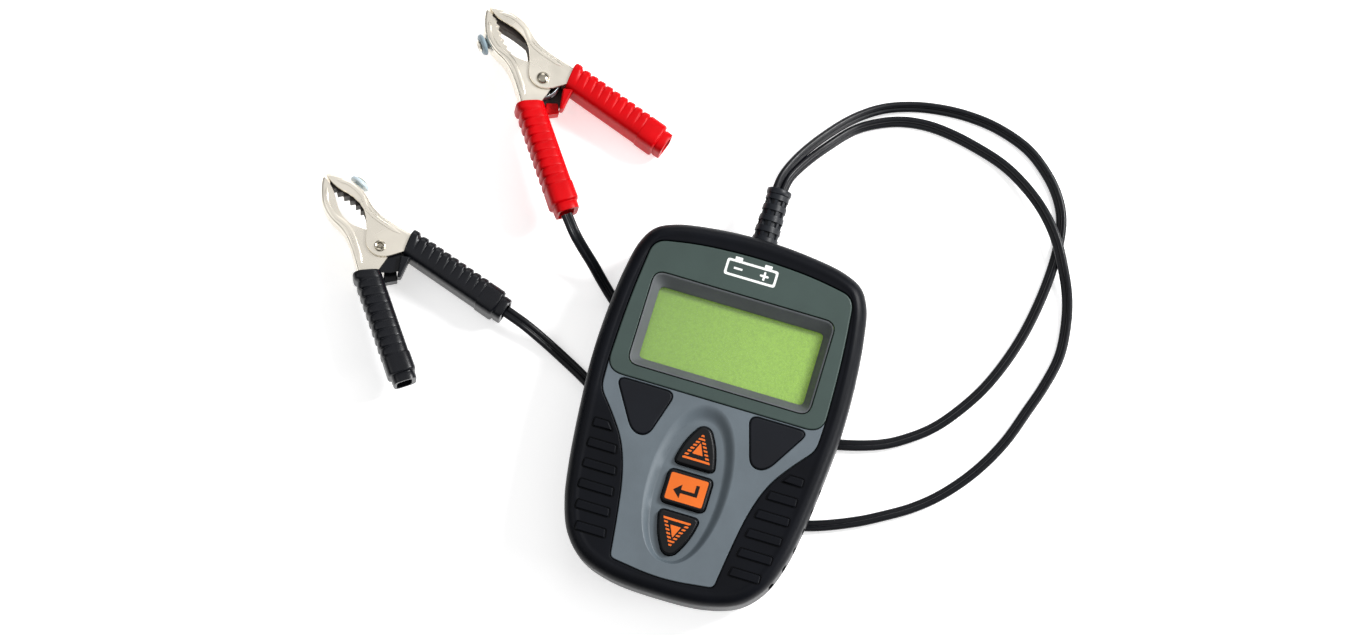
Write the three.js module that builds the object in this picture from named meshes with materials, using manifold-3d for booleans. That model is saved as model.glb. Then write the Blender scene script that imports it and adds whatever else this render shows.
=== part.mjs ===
// Battery tester with two flat twin leads and two sprung battery clips.
// Millimetres, +Z up. The origin is under the middle of the case, at the plane its four feet stand on.
// +Y runs along the case towards the strain relief, and +X is to the right of someone reading the display.
import * as THREE from 'three';
import { mergeVertices } from 'three/addons/utils/BufferGeometryUtils.js';
import Module from 'manifold-3d';

const wasm = await Module();
wasm.setup();

// ---------------------------------------------------------------- driving sizes
const gap = 0.3; // clearance between pieces that touch on the real object
const footHeight = 3;
const rimTop = 28.6; // top of the rubber rim
const caseSplit = 14; // where the front housing meets the back cover
const wallInset = 2.2; // from the outside of the rubber boot to the hard shell
const shellWall = 2.2;
const plateTop = 28;
const panelTop = 28.3;
const plateBottom = 26.3; // underside of the face plate, the panel and the boot's lip
const dishFloor = 25.4; // the bottom of the oval dish that holds the keys
const dishSkin = 0.8;
const keyTop = 27.4;
const keyTravel = 0.9;
const boardTop = 17.7;
const boardThickness = 1.6;
const exitHeight = 16; // centre of the strain relief
const reliefEnd = 82.8;

// ---------------------------------------------------------------- colours
const looks = {
  boot: { color: '#1b1d22', roughness: 0.55, metalness: 0 },
  pad: { color: '#202228', roughness: 0.6, metalness: 0 },
  plate: { color: '#6b757b', roughness: 0.6, metalness: 0 },
  panel: { color: '#3f504c', roughness: 0.45, metalness: 0 },
  surround: { color: '#4a4c4c', roughness: 0.7, metalness: 0 },
  window: { color: '#dfe8d8', roughness: 0.05, metalness: 0 },
  display: { color: '#9cbd62', roughness: 0.3, metalness: 0 },
  backlight: { color: '#e8efe0', roughness: 0.6, metalness: 0 },
  shell: { color: '#2a2d31', roughness: 0.6, metalness: 0 },
  board: { color: '#1f6b3a', roughness: 0.5, metalness: 0 },
  chip: { color: '#16171a', roughness: 0.5, metalness: 0 },
  ceramic: { color: '#d9d4c6', roughness: 0.8, metalness: 0 },
  mat: { color: '#55585c', roughness: 0.8, metalness: 0 },
  key: { color: '#17181b', roughness: 0.55, metalness: 0 },
  steel: { color: '#9aa0a4', roughness: 0.35, metalness: 1 },
  nickel: { color: '#d8d0c0', roughness: 0.3, metalness: 1 },
  copper: { color: '#3a2a20', roughness: 0.45, metalness: 0.3 },
  liner: { color: '#2b2320', roughness: 0.6, metalness: 0 },
  insulator: { color: '#8fa3ad', roughness: 0.4, metalness: 0 },
  redSleeve: { color: '#e00a14', roughness: 0.35, metalness: 0 },
  blackSleeve: { color: '#1c1e23', roughness: 0.4, metalness: 0 },
  lead: { color: '#16181b', roughness: 0.3, metalness: 0 },
};

const group = new THREE.Group();

// ---------------------------------------------------------------- solids and booleans
function solid(geometry) {
  const bare = geometry.clone();
  bare.deleteAttribute('normal');
  bare.deleteAttribute('uv');
  const merged = mergeVertices(bare, 1e-4);
  return new wasm.Manifold(new wasm.Mesh({
    numProp: 3,
    vertProperties: new Float32Array(merged.attributes.position.array),
    triVerts: new Uint32Array(merged.index.array),
  }));
}

function geometryOf(manifold) {
  const mesh = manifold.getMesh();
  const geometry = new THREE.BufferGeometry();
  geometry.setAttribute('position', new THREE.BufferAttribute(new Float32Array(mesh.vertProperties), 3));
  geometry.setIndex(new THREE.BufferAttribute(new Uint32Array(mesh.triVerts), 1));
  geometry.computeVertexNormals();
  return geometry;
}

function joined(first, ...others) {
  return others.reduce((sum, other) => sum.add(other), first);
}

function cutFrom(body, ...cutters) {
  return cutters.reduce((rest, cutter) => rest.subtract(cutter), body);
}

function addPart(name, shape, look, parent = group) {
  const geometry = shape.isBufferGeometry ? shape : geometryOf(shape);
  const mesh = new THREE.Mesh(geometry, new THREE.MeshStandardMaterial(looks[look]));
  mesh.name = name;
  parent.add(mesh);
  return mesh;
}

function box(x0, x1, y0, y1, z0, z1) {
  const geometry = new THREE.BoxGeometry(x1 - x0, y1 - y0, z1 - z0);
  geometry.translate((x0 + x1) / 2, (y0 + y1) / 2, (z0 + z1) / 2);
  return solid(geometry);
}

function post(x, y, radius, z0, z1, sides = 20) {
  const geometry = new THREE.CylinderGeometry(radius, radius, z1 - z0, sides);
  geometry.rotateX(Math.PI / 2);
  geometry.translate(x, y, (z0 + z1) / 2);
  return solid(geometry);
}

function slab(shape, z0, z1, bevel = 0, segments = 4) {
  const geometry = new THREE.ExtrudeGeometry(shape, {
    depth: z1 - z0 - 2 * bevel,
    bevelEnabled: bevel > 0,
    bevelThickness: bevel,
    bevelSize: bevel,
    bevelOffset: -bevel,
    bevelSegments: 1,
    curveSegments: segments,
  });
  geometry.translate(0, 0, z0 + bevel);
  return solid(geometry);
}

// ---------------------------------------------------------------- outlines
// A closed polygon whose corners [x, y, reach] are rounded, each starting `reach` before the corner.
function roundedPolygon(corners) {
  const shape = new THREE.Shape();
  corners.forEach(([x, y, reach], index) => {
    const [px, py] = corners[(index + corners.length - 1) % corners.length];
    const [nx, ny] = corners[(index + 1) % corners.length];
    const before = Math.min(reach, 0.49 * Math.hypot(px - x, py - y)) / Math.hypot(px - x, py - y);
    const after = Math.min(reach, 0.49 * Math.hypot(nx - x, ny - y)) / Math.hypot(nx - x, ny - y);
    const start = [x + (px - x) * before, y + (py - y) * before];
    if (index === 0) {
      shape.moveTo(...start);
    } else {
      shape.lineTo(...start);
    }
    shape.quadraticCurveTo(x, y, x + (nx - x) * after, y + (ny - y) * after);
  });
  return shape;
}

// The right half of a symmetric outline, top to bottom, with its mirror image added.
function mirrored(half) {
  const left = half.filter(([x]) => x > 0).reverse().map(([x, y, reach]) => [-x, y, reach]);
  return [...half, ...left];
}

function panelOutline(grow) {
  return roundedPolygon(mirrored([
    [0, 55.8 + grow, 12],
    [20, 54.7 + grow, 8],
    [35.2 + grow, 51.9 + grow, 4.5],
    [37.4 + grow, 30, 12],
    [38 + grow, 4.7 - grow, 6],
  ]));
}

function plateOutline(grow) {
  return roundedPolygon(mirrored([
    [38 + grow, 12, 1],
    [37.5 + grow, -1.6 - grow, 3],
    [31.6 + grow, -8.4 - grow, 6],
    [25.4 + grow, -17 - grow, 6],
    [21.6 + grow, -28.5, 8],
    [19.4 + grow, -43, 8],
    [17.9 + grow, -55.3 - grow, 1.6],
    [0, -57.6 - grow, 10],
  ]));
}

function padOutline(side, grow) {
  const corners = [
    [13 - grow, 3.7 + grow, 3.4],
    [33.6 + grow, 3.7 + grow, 3.6],
    [23.4 + grow, -12.9 - grow, 4],
    [18 - grow, -12.9 - grow, 3.4],
  ];
  return roundedPolygon(corners.map(([x, y, reach]) => [side * x, y, reach]));
}

function rectangle(halfWidth, y0, y1, reach) {
  return roundedPolygon([
    [halfWidth, y1, reach], [-halfWidth, y1, reach], [-halfWidth, y0, reach], [halfWidth, y0, reach],
  ]);
}

// Key outlines about their own middles. The down key is the up key turned over.
function keyOutline(kind, grow) {
  if (kind === 'enter') {
    return roundedPolygon([
      [7.6 + grow, 5.8 + grow, 2], [-7.6 - grow, 5.8 + grow, 2],
      [-7.6 - grow, -5.8 - grow, 2], [7.6 + grow, -5.8 - grow, 2],
    ]);
  }
  const way = kind === 'up' ? 1 : -1;
  return roundedPolygon(mirrored([
    [1.8 + grow, way * (7.4 + grow), 2],
    [5.4 + grow, way * 1, 5],
    [7.1 + grow, way * (-6.8 - grow), 2.2],
  ]));
}

const keys = [
  { name: 'up_button', kind: 'up', y: -11.7 },
  { name: 'enter_button', kind: 'enter', y: -26.5 },
  { name: 'down_button', kind: 'down', y: -41.5 },
];

// The case outline: one smooth closed curve through a few points of its right half.
const caseHalf = [
  [0, 63], [17, 62], [30, 59.7], [36.6, 56.4], [40.2, 50.5], [42.4, 40], [43.9, 24], [44.2, 8],
  [43, -10], [40.9, -29], [38.6, -41], [34.6, -51], [28, -58], [17, -61.9], [0, -63],
];

function caseLoop(inset, count = 60) {
  const right = [...caseHalf].reverse();
  const left = caseHalf.slice(1, -1).map(([x, y]) => [-x, y]);
  const turn = [caseHalf[0], ...left, ...right.slice(0, -1)];
  const curve = new THREE.CatmullRomCurve3(turn.map(([x, y]) => new THREE.Vector3(x, y, 0)), true, 'centripetal');
  const points = curve.getSpacedPoints(count).slice(0, count);
  return points.map((point, index) => {
    const before = points[(index + count - 1) % count];
    const after = points[(index + 1) % count];
    const along = after.clone().sub(before).normalize();
    return [point.x - along.y * inset, point.y + along.x * inset];
  });
}

function ovalLoop(halfWidth, top, bottom, count = 36) {
  const middle = (top + bottom) / 2;
  return Array.from({ length: count }, (unused, index) => {
    const angle = (2 * Math.PI * index) / count;
    const side = Math.sin(angle);
    const x = -halfWidth * Math.sign(side) * Math.abs(side) ** 0.9;
    return [x, middle + ((top - bottom) / 2) * Math.cos(angle)];
  });
}

function rectangleLoop(halfWidth, y0, y1, radius, perCorner = 4) {
  const loop = [];
  const corners = [[halfWidth, y1, 0], [-halfWidth, y1, 1], [-halfWidth, y0, 2], [halfWidth, y0, 3]];
  corners.forEach(([x, y, quarter]) => {
    for (let step = 0; step <= perCorner; step += 1) {
      const angle = ((quarter + step / perCorner) * Math.PI) / 2;
      const cx = x - Math.sign(x) * radius;
      const cy = y - (quarter < 2 ? radius : -radius);
      loop.push([cx + radius * Math.cos(angle), cy + radius * Math.sin(angle)]);
    }
  });
  return loop;
}

// A closed body through level loops of equal count, lowest first: a cylinder whose vertices are moved.
function loft(levels) {
  const count = levels[0].loop.length;
  const geometry = new THREE.CylinderGeometry(1, 1, 1, count, levels.length - 1);
  const place = geometry.attributes.position;
  for (let index = 0; index < place.count; index += 1) {
    const x = place.getX(index);
    const z = place.getZ(index);
    const { loop, z: height } = levels[Math.round((place.getY(index) + 0.5) * (levels.length - 1))];
    const onAxis = Math.hypot(x, z) < 0.5;
    const step = Math.round((Math.atan2(x, z) / (2 * Math.PI)) * count + count) % count;
    const middle = [0, 1].map((axis) => loop.reduce((sum, point) => sum + point[axis], 0) / count);
    const [px, py] = onAxis ? middle : loop[step];
    place.setXYZ(index, px, py, height);
  }
  return solid(geometry);
}

// ---------------------------------------------------------------- case shells
const screwPlaces = [[-31, 50], [31, 50], [-24.5, -49.5], [24.5, -49.5]];
const footPlaces = [[-27, 38], [27, 38], [-22, -38], [22, -38]];
const boardPosts = [[-33.2, 2], [33.2, 2], [-16.4, -48.5], [16.4, -48.5]];
const screwHole = 1.4;
const reliefHole = 5;

function alongY(radius, y0, y1, sides = 24) {
  const geometry = new THREE.CylinderGeometry(radius, radius, y1 - y0, sides);
  geometry.translate(0, (y0 + y1) / 2, exitHeight);
  return solid(geometry);
}

function frontHousing() {
  const inner = wallInset + shellWall;
  const skinBottom = 24.2;
  const outside = loft([
    { z: caseSplit + gap / 2, loop: caseLoop(wallInset) },
    { z: plateBottom - gap, loop: caseLoop(wallInset) },
  ]);
  const inside = loft([{ z: 0, loop: caseLoop(inner) }, { z: skinBottom, loop: caseLoop(inner) }]);
  const windowCut = slab(rectangle(32.2, 8.7, 42.3, 4), 20, 30);
  const dishCut = loft([{ z: 20, loop: ovalLoop(14.6, 3.9, -52.6) }, { z: 30, loop: ovalLoop(14.6, 3.9, -52.6) }]);
  const shell = cutFrom(outside, inside, windowCut, dishCut, alongY(reliefHole, 50, 70));
  const bosses = screwPlaces.map(([x, y]) => cutFrom(
    post(x, y, 3.3, caseSplit + gap / 2, skinBottom + 0.5),
    post(x, y, screwHole, 0, 21),
  ));
  const stands = boardPosts.map(([x, y]) => post(x, y, 1.8, boardTop + gap, skinBottom + 0.5, 12));
  return joined(shell, ...bosses, ...stands);
}

function backCover() {
  const inner = wallInset + shellWall;
  const floorTop = footHeight + 2.2;
  const headDepth = 3.2;
  const outside = loft([
    { z: footHeight, loop: caseLoop(7) },
    { z: footHeight + 0.6, loop: caseLoop(4.5) },
    { z: footHeight + 2, loop: caseLoop(2.9) },
    { z: footHeight + 4, loop: caseLoop(wallInset) },
    { z: caseSplit - gap / 2, loop: caseLoop(wallInset) },
  ]);
  const inside = loft([
    { z: floorTop, loop: caseLoop(7.4) },
    { z: floorTop + 2, loop: caseLoop(inner + 0.4) },
    { z: 20, loop: caseLoop(inner + 0.4) },
  ]);
  const bosses = screwPlaces.map(([x, y]) => post(x, y, 4.6, floorTop - 0.5, caseSplit - gap / 2));
  const shell = joined(cutFrom(outside, inside, alongY(reliefHole, 50, 70)), ...bosses);
  const holes = screwPlaces.flatMap(([x, y]) => [
    post(x, y, screwHole, 0, 20),
    post(x, y, 3.1, 0, footHeight + headDepth),
  ]);
  return cutFrom(shell, ...holes);
}

function caseScrew(x, y) {
  const headBottom = footHeight + 0.9;
  const headTop = footHeight + 3.2 - gap;
  const head = post(x, y, 2.7, headBottom, headTop);
  const shank = post(x, y, screwHole - gap, headTop - 0.2, 20, 12);
  const slots = [0, Math.PI / 2].map((turn) => {
    const slot = new THREE.BoxGeometry(3, 0.7, 1.6);
    slot.rotateZ(turn);
    slot.translate(x, y, headBottom);
    return solid(slot);
  });
  return cutFrom(joined(head, shank), ...slots);
}

// ---------------------------------------------------------------- rubber boot
const ribPitch = 7;
const ribHeight = 2.8;
const firstRib = -13.4;
const ribEnds = [[29.6, 36.6], [26.4, 36.4], [24.4, 35.8], [23.2, 35.2], [22.4, 34], [21.6, 32]];

function gripRibs() {
  return ribEnds.flatMap(([inner, outer], row) => {
    const y = firstRib - row * ribPitch;
    return [-1, 1].map((side) => {
      const [x0, x1] = side < 0 ? [-outer, -inner] : [inner, outer];
      return box(x0, x1, y - ribHeight / 2, y + ribHeight / 2, rimTop - 1, rimTop + 0.35);
    });
  });
}

function sideNotches() {
  const rows = ribEnds.map((unused, row) => firstRib - row * ribPitch).concat([36, 30, 24]);
  return rows.flatMap((y) => [-1, 1].map((side) => {
    const notch = new THREE.BoxGeometry(2, 2.6, 9);
    const edge = caseLoop(0, 160).reduce((best, [px, py]) => (
      px > 0 && Math.abs(py - y) < Math.abs(best[1] - y) ? [px, py] : best
    ), [0, 1e6]);
    notch.translate(side * (edge[0] + 0.35), y, 18);
    return solid(notch);
  }));
}

function rubberBoot() {
  const outside = loft([
    { z: 5.5, loop: caseLoop(1.3) },
    { z: 6.5, loop: caseLoop(0.5) },
    { z: 8.5, loop: caseLoop(0) },
    { z: 24.2, loop: caseLoop(0) },
    { z: 26, loop: caseLoop(0.3) },
    { z: 27.4, loop: caseLoop(1.1) },
    { z: 28.2, loop: caseLoop(2.2) },
    { z: rimTop, loop: caseLoop(3.6) },
  ]);
  const inside = loft([
    { z: 0, loop: caseLoop(wallInset - gap) },
    { z: plateBottom, loop: caseLoop(wallInset - gap) },
  ]);
  const opening = slab(panelOutline(gap), 20, 40).add(slab(plateOutline(gap), 20, 40));
  const ring = cutFrom(outside, inside, alongY(reliefHole - gap, 50, 70), ...sideNotches());
  return cutFrom(joined(ring, ...gripRibs()), opening);
}

// ---------------------------------------------------------------- face pieces
function facePlate() {
  const wallLoops = [
    { z: dishFloor, loop: ovalLoop(10.4, -2.4, -50.8) },
    { z: plateTop + 0.01, loop: ovalLoop(14, 3.2, -52) },
  ];
  const tub = loft([
    { z: dishFloor - dishSkin, loop: ovalLoop(14.1, 3.4, -52.1) },
    { z: plateTop - 0.4, loop: ovalLoop(14.1, 3.4, -52.1) },
  ]);
  const plate = slab(plateOutline(0), plateBottom, plateTop);
  const pocket = loft([...wallLoops, { z: 40, loop: ovalLoop(14, 3.2, -52) }]);
  const panelCut = slab(panelOutline(gap), 20, 40);
  const padCuts = [-1, 1].map((side) => slab(padOutline(side, gap), 20, 40));
  const keyCuts = keys.map(({ kind, y }) => slab(keyOutline(kind, 0.35), 20, 40).translate([0, y, 0]));
  return cutFrom(joined(plate, tub), pocket, panelCut, ...padCuts, ...keyCuts);
}

function displayPanel() {
  const windowCut = slab(rectangle(32.1, 8.8, 42.2, 4), 20, 40);
  return cutFrom(slab(panelOutline(0), plateBottom, panelTop, 0.25), windowCut);
}

const surroundBottom = 23.9;
const glassLevel = 24.4; // the lowest edge of the surround's sloping walls

function displaySurround() {
  const block = slab(rectangle(31.8, 9.1, 41.9, 3.6), surroundBottom, panelTop - 0.25);
  const slope = loft([
    { z: glassLevel, loop: rectangleLoop(28.9, 12.3, 37.8, 1.6) },
    { z: panelTop, loop: rectangleLoop(31.4, 9.5, 41.5, 3.2) },
  ]);
  const through = slab(rectangle(28.9, 12.3, 37.8, 1.6), 20, glassLevel + 0.01);
  return cutFrom(block, slope, through);
}

function pad(side) {
  return slab(padOutline(side, 0), plateBottom, plateTop + 0.25, 0.4);
}

// Key cap, with its skirt under the plate and a stem that reaches down towards the board.
function button(kind, y) {
  const skirtTop = dishFloor - dishSkin - gap;
  const skirtBottom = skirtTop - 1.1;
  const stemBottom = boardTop + gap + keyTravel;
  const cap = slab(keyOutline(kind, 0), skirtTop - 0.5, keyTop, 0.5);
  const skirt = slab(keyOutline(kind, -0.2), skirtBottom, skirtTop);
  const flange = box(-8.4, 8.4, -1.6, 1.6, skirtBottom, skirtTop);
  const stem = post(0, 0, 2.5, stemBottom, skirtBottom + 0.3, 16);
  return joined(cap, skirt, flange, stem).translate([0, y, 0]);
}

// ---------------------------------------------------------------- inside the case
function keypadMat() {
  const sheet = slab(rectangle(10, -49, -3.5, 2), boardTop + gap, boardTop + 2.6);
  return cutFrom(sheet, ...keys.map(({ y }) => post(0, y, 3.1, 10, 30, 20)));
}

function circuitBoard() {
  const outline = roundedPolygon(mirrored([
    [34.5, 44, 2], [34.5, -2, 3], [19, -22, 3], [19, -52, 2],
  ]));
  return slab(outline, boardTop - boardThickness, boardTop);
}

function strainRelief() {
  const profile = [
    [0, 55.8], [6.2, 55.8], [6.2, 57.3], [4.55, 57.3], [4.55, 64.2],
  ];
  const rows = 4;
  const rowPitch = 3.9;
  const firstRow = 65.2;
  for (let row = 0; row < rows; row += 1) {
    const start = firstRow + row * rowPitch;
    const radius = 4.5 - 0.14 * row;
    profile.push([radius, start], [radius - 0.9, start + 0.2], [radius - 0.9, start + 1.7], [radius, start + 1.9]);
  }
  profile.push([3.9, 80.2], [4.25, 80.4], [4.25, reliefEnd - 0.5], [3.8, reliefEnd], [0, reliefEnd]);
  const geometry = new THREE.LatheGeometry(profile.map(([x, y]) => new THREE.Vector2(x, y)), 16);
  geometry.scale(1, 1, 0.94);
  geometry.translate(0, 0, exitHeight);
  return solid(geometry);
}

// ---------------------------------------------------------------- battery clips
// Clip frame: the pivot is the origin, the jaws point along +Y, and the hinge pin runs along Z.
const sheet = 0.8;
const channelHeight = 8;
const plateShift = (sheet + gap) / 2; // each half sits this far from the middle, so that its plates pass
const handleAngle = THREE.MathUtils.degToRad(18);
const handleStart = [8.95, -4.2];
const stampingReach = 33;
const sleeveLength = 41.2;
const jawHole = 1.9;

// Outside edge of the right-hand half, tip first, as [x, y, reach].
const jawBack = [[0.95, 32, 0.3], [2.9, 30.2, 2.5], [6.6, 25, 5], [7.8, 18.6, 5], [6.4, 12, 5], [8.6, 4, 5]];
// Inside edge of the same half, from the ear round the pivot to the tip.
const jawFront = [
  [-3.6, -1.6, 2.4], [-3.9, 3.4, 2.4], [0.4, 8.2, 1.2], [3.5, 13, 4], [3.6, 19, 5], [0.3, 26.5, 3], [0.3, 32, 0.2],
];

function handlePoint(along, across) {
  return [
    handleStart[0] + along * Math.sin(handleAngle) + across * Math.cos(handleAngle),
    handleStart[1] - along * Math.cos(handleAngle) + across * Math.sin(handleAngle),
  ];
}

function mirrorTo(side, corners) {
  return corners.map(([x, y, reach]) => [side * x, y, reach]);
}

// One U-shaped stamping: a full block less the space between its two cheeks.
function stamping(side, toothed) {
  const low = -channelHeight / 2 + side * plateShift;
  const high = low + channelHeight;
  const half = 2.9;
  const outline = [
    ...jawBack,
    [...handlePoint(0, half), 2],
    [...handlePoint(stampingReach, half), 1.5],
    [...handlePoint(stampingReach, -half), 0.5],
    [...handlePoint(-1.4, -half), 1],
    ...jawFront,
  ];
  const space = [
    [-2, 29.4, 0.1],
    [1.9, 29.4, 0.8],
    ...jawBack.slice(2).map(([x, y, reach]) => [x - sheet - 0.1, y, reach]),
    [...handlePoint(0, half - sheet), 2],
    [...handlePoint(stampingReach + 3, half - sheet), 0.5],
    [...handlePoint(stampingReach + 3, -half - 12), 0.5],
    [-8, -6, 0.5],
  ];
  const body = slab(roundedPolygon(mirrorTo(side, outline)), low, high, 0, 3);
  const hollow = slab(roundedPolygon(mirrorTo(side, space)), low + sheet, high - sheet, 0, 3);
  const cutters = [hollow, post(0, 0, jawHole, -10, 10, 14)];
  if (toothed) {
    const teeth = 6;
    for (let tooth = 0; tooth < teeth; tooth += 1) {
      const notch = new THREE.CylinderGeometry(0.75, 0.75, 20, 3);
      notch.rotateX(Math.PI / 2);
      notch.rotateZ(side > 0 ? 0 : Math.PI);
      const part = tooth / (teeth - 1);
      notch.translate(side * (0.3 + 2.5 * part), 27.6 - 7 * part, 0);
      cutters.push(solid(notch));
    }
    cutters.push(solid(insulatorShank(side, 2.1)));
  }
  return cutFrom(body, ...cutters);
}

// The insulating button stands on the back of the jaw, square to it, on a short shank.
const buttonPlace = [6.85, 22.6];
const buttonAngle = THREE.MathUtils.degToRad(15);

function onJawBack(geometry, side, out) {
  geometry.rotateZ(-Math.PI / 2 + buttonAngle);
  geometry.translate(buttonPlace[0] + out * Math.cos(buttonAngle), buttonPlace[1] + out * Math.sin(buttonAngle), 0);
  if (side < 0) {
    geometry.rotateY(Math.PI);
  }
  geometry.translate(0, 0, side * plateShift);
  return geometry;
}

function insulatorShank(side, radius) {
  return onJawBack(new THREE.CylinderGeometry(radius, radius, 3, 16), side, 0.2);
}

function insulatorButton(side) {
  const disc = solid(onJawBack(new THREE.CylinderGeometry(3.3, 3.8, 1.5, 24), side, 1.75));
  const shank = solid(onJawBack(new THREE.CylinderGeometry(1.7, 1.7, 2.6, 16), side, 0.1));
  const bore = solid(onJawBack(new THREE.CylinderGeometry(1.4, 1.4, 9, 16), side, 1));
  return cutFrom(joined(disc, shank), bore);
}

function eyelet(side) {
  const collar = solid(onJawBack(new THREE.CylinderGeometry(2, 2.3, 0.5, 20), side, 3.05));
  const tube = solid(onJawBack(new THREE.CylinderGeometry(1.1, 1.1, 3.6, 14), side, 1.3));
  const bore = solid(onJawBack(new THREE.CylinderGeometry(0.6, 0.6, 9, 10), side, 1));
  return cutFrom(joined(collar, tube), bore);
}

// The contact strip follows the inside edge of the cord half, between its two cheeks.
function contactStrip(side) {
  const strip = [
    [0.4, 28.6, 0.1], [0.45, 26.6, 1], [3.7, 19, 3], [3.7, 13.6, 0.1], [4.6, 13.4, 0.1], [4.7, 19.4, 3],
    [1.3, 28.6, 0.1],
  ];
  return slab(roundedPolygon(mirrorTo(side, strip)), -2.2, 2.2, 0, 4);
}

function jawLiner(side) {
  const liner = [
    [1.8, 28.9, 0.1], [5.1, 24.2, 3], [6.2, 18.5, 4], [5, 12.6, 0.1], [4.3, 12.8, 0.1], [5.4, 18.5, 4],
    [4.4, 23.8, 3], [1.2, 28.4, 0.1],
  ];
  return slab(roundedPolygon(mirrorTo(side, liner)), -2.2, 2.2, 0, 4);
}

const sleeveHalfWidth = 4.5;
const sleeveHalfHeight = 6.1;
const ribCount = 9;

// Ribbed PVC sleeve, made upright and laid along its handle. Its inner side stays smooth.
function sleeve(side) {
  const section = (halfWidth, halfHeight, shift, corner = 1.6) => (
    rectangleLoop(halfWidth, -halfHeight, halfHeight, corner, 1).map(([x, y]) => [x + shift, y])
  );
  const levels = [];
  const ribStart = 2.2;
  const pitch = 3.2;
  levels.push({ z: 0, loop: section(sleeveHalfWidth, sleeveHalfHeight, 0) });
  for (let rib = 0; rib < ribCount; rib += 1) {
    const z = ribStart + rib * pitch;
    levels.push({ z, loop: section(sleeveHalfWidth, sleeveHalfHeight, 0) });
    levels.push({ z: z + 0.3, loop: section(sleeveHalfWidth - 0.25, sleeveHalfHeight - 0.45, -0.25) });
    levels.push({ z: z + 1.1, loop: section(sleeveHalfWidth - 0.25, sleeveHalfHeight - 0.45, -0.25) });
  }
  levels.push({ z: 31.6, loop: section(sleeveHalfWidth, sleeveHalfHeight, 0) });
  levels.push({ z: 37, loop: section(sleeveHalfWidth, sleeveHalfHeight, 0) });
  levels.push({ z: 37.6, loop: section(sleeveHalfWidth - 1.1, sleeveHalfHeight - 1.1, 0) });
  levels.push({ z: sleeveLength, loop: section(sleeveHalfWidth - 1.3, sleeveHalfHeight - 1.3, 0) });
  const bore = loft([
    { z: stampingReach, loop: section(2.4, 3, 0) },
    { z: sleeveLength + 1, loop: section(2.4, 3, 0) },
  ]);
  const pocket = loft([
    { z: -1, loop: section(2.9 + gap, 4.85, 0, 0.2) },
    { z: stampingReach + gap, loop: section(2.9 + gap, 4.85, 0, 0.2) },
  ]);
  const upright = geometryOf(cutFrom(loft(levels), pocket, bore));
  upright.rotateX(Math.PI / 2);
  upright.rotateZ(handleAngle);
  upright.translate(...handlePoint(0, 0), 0);
  if (side < 0) {
    upright.rotateY(Math.PI);
  }
  return upright;
}

function rivet() {
  const high = channelHeight / 2 + plateShift + gap;
  const profile = [
    [0, -high - 0.9], [1.4, -high - 0.9], [1.9, -high - 0.5], [1.9, -high], [1.6, -high], [1.6, high], [2.2, high],
    [2.1, high + 0.5], [1.3, high + 1.1], [0, high + 1.3],
  ];
  const geometry = new THREE.LatheGeometry(profile.map(([x, y]) => new THREE.Vector2(x, y)), 14);
  geometry.rotateX(Math.PI / 2);
  return geometry;
}

// Torsion spring round the rivet: turns by a formula, then a straight leg into each handle.
function torsionSpring() {
  const turns = 3;
  const coilRadius = 2.6;
  const rise = 1.1;
  const low = -1.65;
  const legStart = Math.PI * 1.58;
  const legs = [handlePoint(10, 1), handlePoint(0.6, -0.6)];
  const points = legs.map(([x, y]) => new THREE.Vector3(-x, y, low));
  for (let step = 0; step <= turns * 10; step += 1) {
    const part = step / (turns * 10);
    const angle = legStart + part * (turns - 0.08) * 2 * Math.PI;
    const z = low + rise * turns * part;
    points.push(new THREE.Vector3(coilRadius * Math.cos(angle), coilRadius * Math.sin(angle), z));
  }
  legs.reverse().forEach(([x, y]) => points.push(new THREE.Vector3(x, y, low + rise * turns)));
  const curve = new THREE.CatmullRomCurve3(points, false, 'centripetal');
  const wire = new THREE.Shape();
  wire.absarc(0, 0, 0.42, 0, 2 * Math.PI, false);
  return new THREE.ExtrudeGeometry(wire, { steps: 46, curveSegments: 3, extrudePath: curve, bevelEnabled: false });
}

function clip(colour, cordSide, pose) {
  const clipGroup = new THREE.Group();
  clipGroup.rotation.set(0, pose.roll, pose.turn, 'ZYX');
  clipGroup.position.set(...pose.pivot);
  group.add(clipGroup);
  const name = (piece) => `${colour}_clip_${piece}`;
  const sleeveLook = `${colour}Sleeve`;
  addPart(name('cord_jaw'), stamping(cordSide, true), 'nickel', clipGroup);
  addPart(name('free_jaw'), stamping(-cordSide, false), 'nickel', clipGroup);
  addPart(name('cord_sleeve'), sleeve(cordSide), sleeveLook, clipGroup);
  addPart(name('free_sleeve'), sleeve(-cordSide), sleeveLook, clipGroup);
  addPart(name('rivet'), rivet(), 'nickel', clipGroup);
  addPart(name('spring'), torsionSpring(), 'steel', clipGroup);
  addPart(name('contact_strip'), contactStrip(cordSide), 'copper', clipGroup);
  addPart(name('jaw_liner'), jawLiner(-cordSide), 'liner', clipGroup);
  addPart(name('insulator'), insulatorButton(cordSide), 'insulator', clipGroup);
  addPart(name('eyelet'), eyelet(cordSide), 'nickel', clipGroup);
}

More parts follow.
